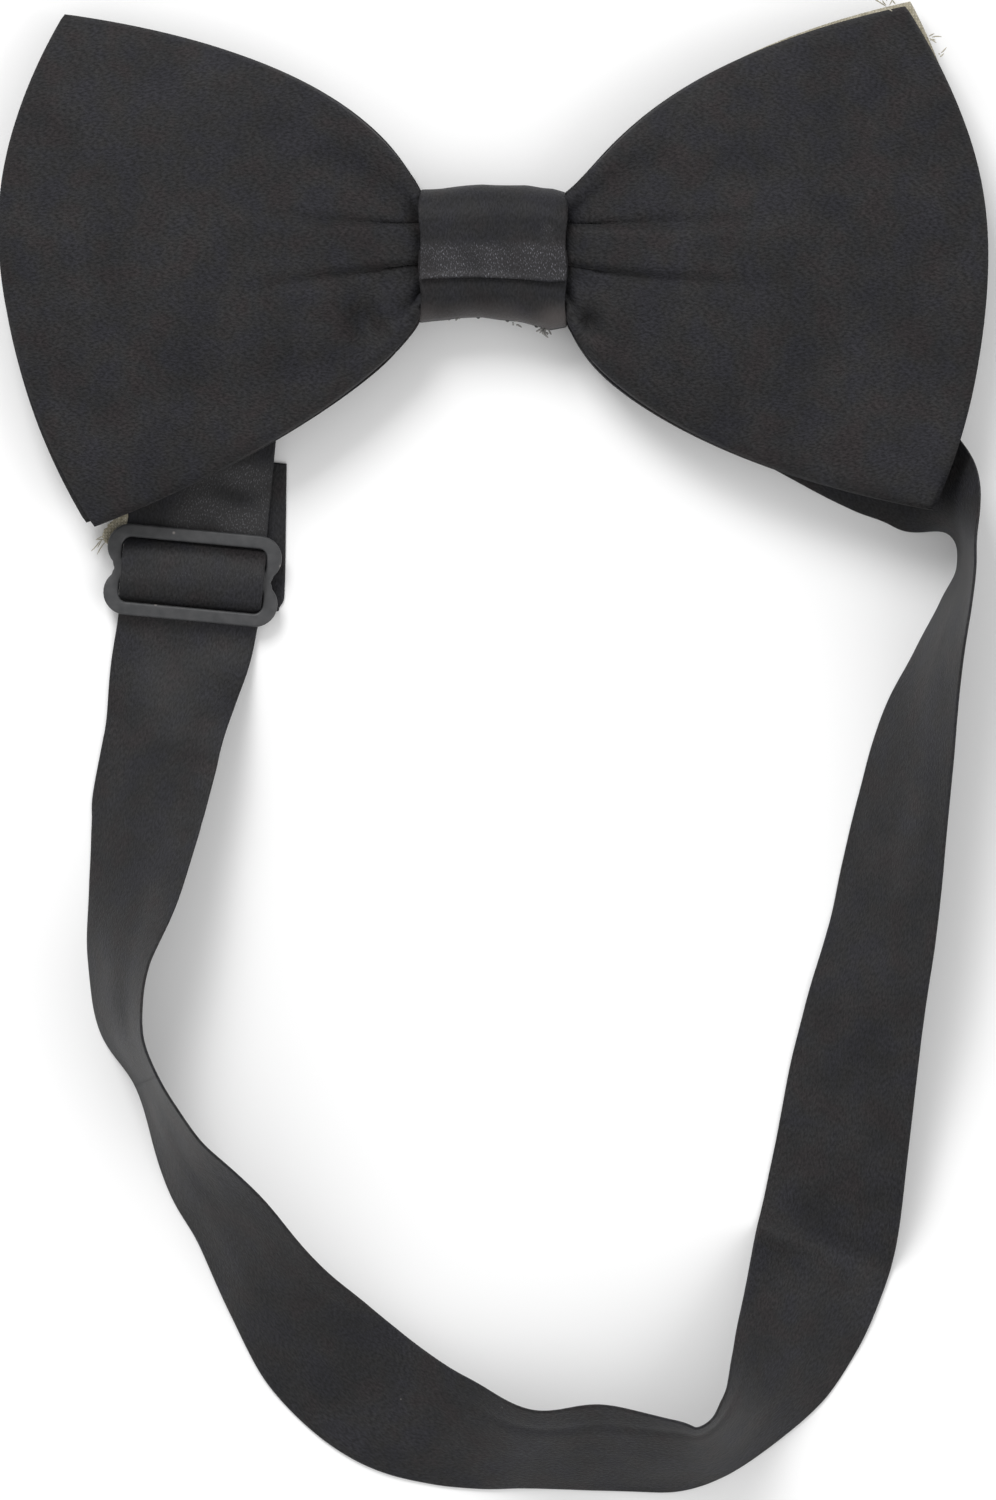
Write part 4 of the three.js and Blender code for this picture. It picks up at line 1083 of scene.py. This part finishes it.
def strap_relief(grid, run):
    """Pushes a strap's middle out of plane: waves along it, a little cupping and its lengthwise creases."""
    u = np.linspace(-1, 1, grid.shape[1])[None]
    r = run[:, None]
    away = smooth(12, 30, r)
    push = 0.2 * ripple(r, u * 6, 21, 19) * away + 0.06 * ripple(r, u * 8, 4, 7)
    push += 0.2 * (1 - u**2) * np.sin(r / 17) * away
    for at, place, long, wide, height, slant in DENTS:
        push += height * bell((r - at - slant * (u - place)) / long, (u - place) / wide)
    for start, stop, place, width, height in CREASES:
        fade = smooth(start, start + 15, r) * (1 - smooth(stop - 15, stop, r))
        wander = place + 0.08 * np.sin(r / 9)
        push += height * fade * bell((u - wander) / width)
    return push


# The moving strap below the slide and the neck band are cut from one grid, so that they meet exactly.
neck, neck_run = neck_grid()
through = through_line()
middle = int(np.argmin(np.abs(through[:, 1] - SLOT_FAR - SLIDE_BAR / 2)))
lower = run_grid(through[: middle + 1][::-1])
upper = run_grid(through[middle:])
join = int(JOIN_AT / STRAP_STEP)
whole = np.concatenate([lower, neck[1:]])
lower_run = distances(lower[:, lower.shape[1] // 2])
whole_run = np.concatenate([lower_run, lower_run[-1] + neck_run[1:]])
settle = smooth(8, 16, whole_run) * (1 - smooth(whole_run[-1] - 130, whole_run[-1] - 100, whole_run))
whole = wander_edges(whole, whole_run)
whole = whole + unit_normals(whole) * (strap_relief(whole, whole_run) * settle[:, None])[..., None]
cut = len(lower) + join


def along_band(y):
    """A point on the adjuster's middle line, in metres in the tie's frame."""
    return tuple(in_adjuster([0, y, 1.0]) * MM)


def middle_length(grid):
    """A grid's length along its middle column."""
    return float(steps(grid[:, grid.shape[1] // 2]).sum())


def strip(name, grid, node_name, thickness=CLOTH, polish_and_painted_shine=0, start=0):
    """A strip of the band in strap satin, which hides the CAD part it replaces, if one is named."""
    obj = cloth(name, grid, thickness, STRAP_SATIN, polish_and_painted_shine, start=start)
    if node_name:
        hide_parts(node_name)
    return obj


def painted_glints(grid, low, high):
    """Where a strip sparkles with a painted highlight and painted glints: a patch towards its right-hand side
    between two heights above the slide.
    """
    u = np.linspace(-1, 1, grid.shape[1])[None]
    y = grid[..., 1]
    patch = smooth(-0.55, 0.1, u) * (1 - smooth(0.82, 0.97, u))
    patch = patch * smooth(low, low + 2, y) * (1 - smooth(high - 3, high, y))
    return np.clip(patch * (0.77 + 0.63 * ripple(grid[..., 0], y, 12, 5)), 0, 1)


below_grid = whole[:cut]
painted_glow = 0.22 * bell(SLIDE_CENTRE[1] + 0.1 - below_grid[..., 1])  # a painted highlight: the light line across the cloth in the slide's window
below = strip("strap_below_slide", below_grid, "band_through_run", CLOTH, painted_glow)
along_band(-7.5)
along_band(-RUN_END - JOIN_AT * 0.8)
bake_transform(below)

neck_band = strip("strap_neck", whole[cut - 1 :], "neck_band", start=middle_length(below_grid))
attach(neck_band, "root")

THIN = 0.3  # the thickness of the strips that lie close together near the hook
# The strip above the slide carries a painted highlight with glints.
above = strip("strap_above_slide", upper, None, THIN, painted_glints(upper, -40, -27))
along_band(7.2)
along_band(HOOK_FOLD_START - 0.5)
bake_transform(above)

bar_side = SLIDE_BAR / 2 + GAP + HALF
round_off = (GAP + HALF) * math.sqrt(0.5)
over_bar = [
    (0.1 - SLIDE_BAR / 2, LOOP_TOP),
    (-SLIDE_BAR / 2 - round_off, BAR_TOP + round_off),
    (-bar_side, BAR_TOP - 0.1),
    (-bar_side, BAR_TOP - 0.5),
]
loop_rows = [
    (LOOP_RETURN_END, RETURN),
    (bar_side + 2.1, RETURN),
    (bar_side + 0.8, RETURN + 0.5),
    *[(-y, z) for y, z in over_bar[::-1]],
    *over_bar,
    (-bar_side - 0.9, RETURN + 0.5),
    (-bar_side - 1.8, RETURN, FLAP_SHIFT * 0.25),
    *half_turn(-LOOP_DROP, RETURN, FLAP, -1, FLAP_SHIFT * 0.85),
    (1 - LOOP_DROP, FLAP, FLAP_SHIFT),
    (3 - LOOP_DROP, FLAP, FLAP_SHIFT),
    (FLAP_LENGTH / 2, FLAP, FLAP_SHIFT - FLAP_LEAN / 2),
    (FLAP_LENGTH, FLAP, FLAP_SHIFT - FLAP_LEAN),
]
loop_grid = strip_grid(loop_rows, 0.25, BAND_WIDTH - 0.3)
loop = strip("strap_sewn_loop", loop_grid, "band_end_loop", CLOTH)
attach(loop, "slide")

RETURN_LEVEL = RETURN + 0.2
LEG_LEVEL = RETURN - 0.22
RETURN_END = HOOK_FOLD_END + 2
return_rows = [
    (LOOP_RETURN_END + 0.05, RETURN + 0.1),
    (LOOP_RETURN_END + 1, RETURN_LEVEL),
    (RETURN_END, RETURN_LEVEL),
]
back = strip("strap_return", strip_grid(return_rows), "band_return_run", 0.26)
along_band(LOOP_RETURN_END)
along_band(RETURN_END)
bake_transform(back)

UPPER_LEG = OVER_HOOK + 0.36
hook_rows = [
    (HOOK_FOLD_START - 3.6, UPPER_LEG),
    (HOOK_FOLD_START - 1, UPPER_LEG),
    (HOOK_NEAR, UPPER_LEG),
    *half_turn(HOOK_FAR + 0.1, UPPER_LEG, LEG_LEVEL, 1),
    (HOOK_NEAR, LEG_LEVEL),
    (HOOK_FOLD_END - 2.2, LEG_LEVEL),
]
hook_fold = strip("strap_hook_fold", strip_grid(hook_rows), "band_hook_fold", THIN)
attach(hook_fold, "hook")

over_eye = EYE_TOP + GAP + HALF
under_eye = EYE_UNDERSIDE - GAP - HALF
eye_rows = [
    (EYE_FOLD_END - 2, under_eye),
    *half_turn(3, under_eye, over_eye, -1),
    (5.3, over_eye),
    (10.3, under_eye + LAYER + 0.2),
    (12.3, under_eye + LAYER),
    (EYE_FOLD_END + 0.3, under_eye + LAYER),
]
eye_line = adjuster_line(eye_rows)
eye_across = EYE_MIDDLE - columns(BAND_WIDTH, STRAP_COLUMNS)[None]
eye_parts = np.broadcast_arrays(eye_line[:, 1:2], eye_across, eye_line[:, 2:3])
eye_grid = in_adjuster(np.stack(eye_parts, axis=-1))
eye_fold = strip("strap_eye_fold", eye_grid, "band_eye_fold", CLOTH)
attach(eye_fold, "root")

# ---- Hardware ----


def rounded(half_x, low, high, radius):
    """A rectangle with round corners, as (x, y) points."""
    x = half_x - radius
    corners = [(x, low + radius), (x, high - radius), (-x, high - radius), (-x, low + radius)]
    turns = [arc(*corner, radius, 90 * number - 90, 90 * number) for number, corner in enumerate(corners)]
    return np.concatenate(turns)


def plate(name, outlines, thickness, underside, bevel, body, node_name):
    """A flat plate with openings and rounded edges, in the adjuster's frame."""
    data = bpy.data.curves.new(name, "CURVE")
    data.dimensions = "2D"
    data.fill_mode = "BOTH"
    data.extrude = (thickness / 2 - bevel) * MM
    data.bevel_depth = bevel * MM
    data.bevel_resolution = 3
    data.offset = -bevel * MM
    for outline in outlines:
        line = data.splines.new("POLY")
        line.points.add(len(outline) - 1)
        for point, (x, y) in zip(line.points, outline):
            point.co = (x * MM, y * MM, 0, 1)
        line.use_cyclic_u = True
    made = add_object(name + "_outline", data)
    bpy.context.view_layer.update()
    mesh = bpy.data.meshes.new_from_object(made.evaluated_get(bpy.context.evaluated_depsgraph_get()))
    bpy.data.objects.remove(made)
    work = bmesh.new()
    work.from_mesh(mesh)
    bmesh.ops.remove_doubles(work, verts=work.verts, dist=1e-6)
    bmesh.ops.recalc_face_normals(work, faces=work.faces)
    work.to_mesh(mesh)
    work.free()
    co = np.array([v.co for v in mesh.vertices]) / MM
    co[:, 2] += underside + thickness / 2
    mesh.vertices.foreach_set("co", (in_adjuster(co) * MM).ravel())
    mesh.name = name
    mesh.materials.clear()
    mesh.materials.append(METAL)
    mesh.shade_smooth()
    obj = add_object(name, mesh)
    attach(obj, body)
    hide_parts(node_name)


def slide_outline():
    """The slide's outline: two lobes at each side with a notch between them."""
    half_x, lobe = SLOT_HALF_LENGTH + SLIDE_SIDE, SLIDE_HEIGHT / 4
    right = [
        *arc(half_x - lobe, -lobe, lobe, -90, 45, 14),
        *arc(half_x - LOBE_NOTCH + 0.4, 0, 0.5, 225, 135, 5),
        *arc(half_x - lobe, lobe, lobe, -45, 90, 14),
    ]
    return np.concatenate([right, np.negative(right)])


WINDOW_CORNER = 1.1
windows = [
    rounded(SLOT_HALF_LENGTH, low, high, WINDOW_CORNER)
    for low, high in ((SLIDE_BAR / 2, SLOT_FAR), (-SLOT_FAR, -SLIDE_BAR / 2))
]
outlines = [slide_outline(), *windows]
plate("slide_frame", outlines, SLIDE_THICKNESS, SLIDE_UNDERSIDE, 0.3, "slide", "adjuster_slide")

HOOK_SIDE = 1.9
HOOK_SLOT = 2.6
TONGUE_WIDTH = 4
TONGUE = 0.5
outlines = [
    rounded(BAND_WIDTH / 2 + HOOK_SIDE, HOOK_NEAR, HOOK_TOP, 1.2),
    rounded(SLOT_HALF_LENGTH, HOOK_FAR, HOOK_FAR + HOOK_SLOT, 0.6),
]
plate("hook_plate", outlines, HARDWARE, HOOK_UNDERSIDE, 0.22, "hook", "clasp_hook")
over_bar_level = EYE_TOP + GAP + TONGUE / 2
under_bar_level = EYE_UNDERSIDE - GAP - TONGUE / 2
plate_middle = HOOK_UNDERSIDE + HARDWARE / 2
tongue_rows = [
    (HOOK_TOP - 0.9, plate_middle),
    (HOOK_TOP, plate_middle + 0.05),
    (HOOK_TOP + 0.9, over_bar_level),
    (EYE_NEAR - 0.5, over_bar_level),
    *half_turn(EYE_FAR, over_bar_level, under_bar_level, 1),
    (EYE_NEAR - 0.6, under_bar_level),
]
tongue = cloth("hook_tongue", strip_grid(tongue_rows, 0.2, TONGUE_WIDTH, 5), TONGUE, METAL)
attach(tongue, "hook")

EYE_HALF_WIDTH = 4.3
eye_end = EYE_NEAR + EYE_LENGTH
outlines = [
    rounded(EYE_HALF_WIDTH, EYE_NEAR, eye_end, 1.6),
    rounded(EYE_HALF_WIDTH - EYE_BAR, EYE_FAR, eye_end - EYE_BAR, 0.6),
]
plate("eye_plate", outlines, EYE_THICKNESS, EYE_UNDERSIDE, 0.2, "root", "clasp_eye")

# ---- Raw canvas and threads ----


def whip(centre, reach, lean):
    """One slanted stitch that hugs the knot's lower edge."""
    t = np.linspace(-1, 1, 9)
    x = centre[0] + lean * t
    y = centre[1] - 0.25 + 0.5 * t**2
    return np.stack([x, y, centre[2] + reach * t], axis=1)


def loose_threads(base, direction, count, length, seed, spread=0.5):
    """Short frayed threads that stand out of an edge."""
    rng = np.random.default_rng(seed)
    lines = []
    for _ in range(count):
        at = np.array(base) + rng.normal(0, 0.35, 3) * (1, 1, 0.4)
        way = np.array([*direction, 0.15]) + rng.normal(0, spread, 3) * (1, 1, 0.3)
        bend = rng.normal(0, 0.5, 3)
        t = np.linspace(0, 1, 10)[:, None]
        lines.append(at + way * t * length + bend * t**2 * length * 0.4)
    return lines


STITCH_COUNT = 4
stitch_places = [(i + 1) * KNOT_WIDTH / (STITCH_COUNT + 1) - KNOT_WIDTH / 2 for i in range(STITCH_COUNT)]
whips = [whip((x, 0.28 - float(np.interp(x, *KNOT_BOTTOM)), 3.0), 1.5, 0.35) for x in stitch_places]
stitch_nodes = [f"knot_stitch_{i + 1}" for i in range(STITCH_COUNT)]
tubes("knot_stitches", whips, 0.15, THREAD, "root", stitch_nodes, sides=8)

# Tufts of threads: place, direction, count, length, seed and spread.
KNOT_LINT = [
    ((7.0, -9.9, 5.6), (0.1, -0.6), 26, 0.6, 21, 0.6),
    ((3.2, -9.1, 5.2), (0.4, -0.3), 6, 0.35, 22, 0.6),
    ((-4.6, -8.6, 5.2), (-0.3, -0.3), 5, 0.3, 23, 0.6),
]
tubes("knot_lint", [line for tuft in KNOT_LINT for line in loose_threads(*tuft)], 0.13, LINT, "root")

STITCH_ROWS = (8.4, 9.6)
STITCH_PITCH = 2.05
STITCH_HALF = 0.65
seam = []
for row in STITCH_ROWS:
    for number in range(-4, 5):
        t = np.linspace(-1, 1, 7)
        x = number * STITCH_PITCH + STITCH_HALF * t + FLAP_SHIFT - FLAP_LEAN / 2
        seam.append(in_adjuster(np.stack([x, np.full(7, row), 0.06 + 0.2 * t**4], axis=1)))
tubes("end_stitches", seam, 0.1, THREAD, "slide", sides=6)

TACK_LENGTH = 3
TACK_TURNS = 9
tack_height = under_eye + LAYER + HALF + 0.2
tacks = []
for side in (-1, 1):
    t = np.linspace(0, 1, 60)
    along = EYE_MIDDLE + side * BAND_WIDTH / 4 + (t - 0.5) * TACK_LENGTH
    zigzag = EYE_FOLD_END - 2.5 + 0.35 * np.sin(t * 2 * math.pi * TACK_TURNS)
    tacks.append(in_adjuster(np.stack([zigzag, along, np.full(60, tack_height)], axis=1)))
tubes("eye_bar_tacks", tacks, 0.11, THREAD, "root", ["eye_tack_lower", "eye_tack_upper"], sides=6)

CANVAS_END = [(-9.4, 7.7), (-10.6, 7.1), (-11.6, 6.2), (-12.5, 5.0), (-12.8, 4.1), (-12.3, 3.4), (-11.4, 3.0)]


def canvas_end():
    """The raw end of the band's canvas beside the slide, lifted and frayed along its outer edge."""
    outer = curve(CANVAS_END, 0.18)
    inner = np.array([-9.0, 4.0])
    t = np.linspace(0, 1, 12)
    grid = inner + (outer[:, None] - inner) * (0.25 + 0.75 * t)[None, :, None]
    fray = 0.04032 * ripple(np.arange(len(outer)), 0, 9, 3.1)
    grid = grid + (outer - inner)[:, None] * (fray[:, None] * t[None] ** 6)[..., None]
    z = 1.0 + 0.25 * t[None] + 0.12 * ripple(grid[..., 0], grid[..., 1], 2, 2.4)
    return in_adjuster(np.concatenate([grid, z[..., None]], axis=-1))


scrap = canvas_end()
raw = cloth("canvas_raw_end", scrap, 0.32, CANVAS)
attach(raw, "slide")
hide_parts("end_canvas_tongue")

CORNER_FRAYS = [
    ((53.2, 33.7, 8.4), (-0.15, 0.7), 7, 1.1, 3),
    ((59.2, 29.2, 8.3), (0.7, 0.2), 4, 1.0, 4),
    ((60.2, 26.6, 8.3), (0.8, 0.1), 3, 0.8, 6),
]
END_FRAYS = ((-12.4, 3.9, 1.15), (-0.7, -0.4), 7, 0.9, 8, 0.6)
frays = [line for tuft in CORNER_FRAYS for line in loose_threads(*tuft)]
tubes("corner_frays", frays, 0.09, PALE_THREAD, "root")
end_frays = [in_adjuster(line) for line in loose_threads(*END_FRAYS)]
tubes("canvas_end_frays", end_frays, 0.08, PALE_THREAD, "slide")
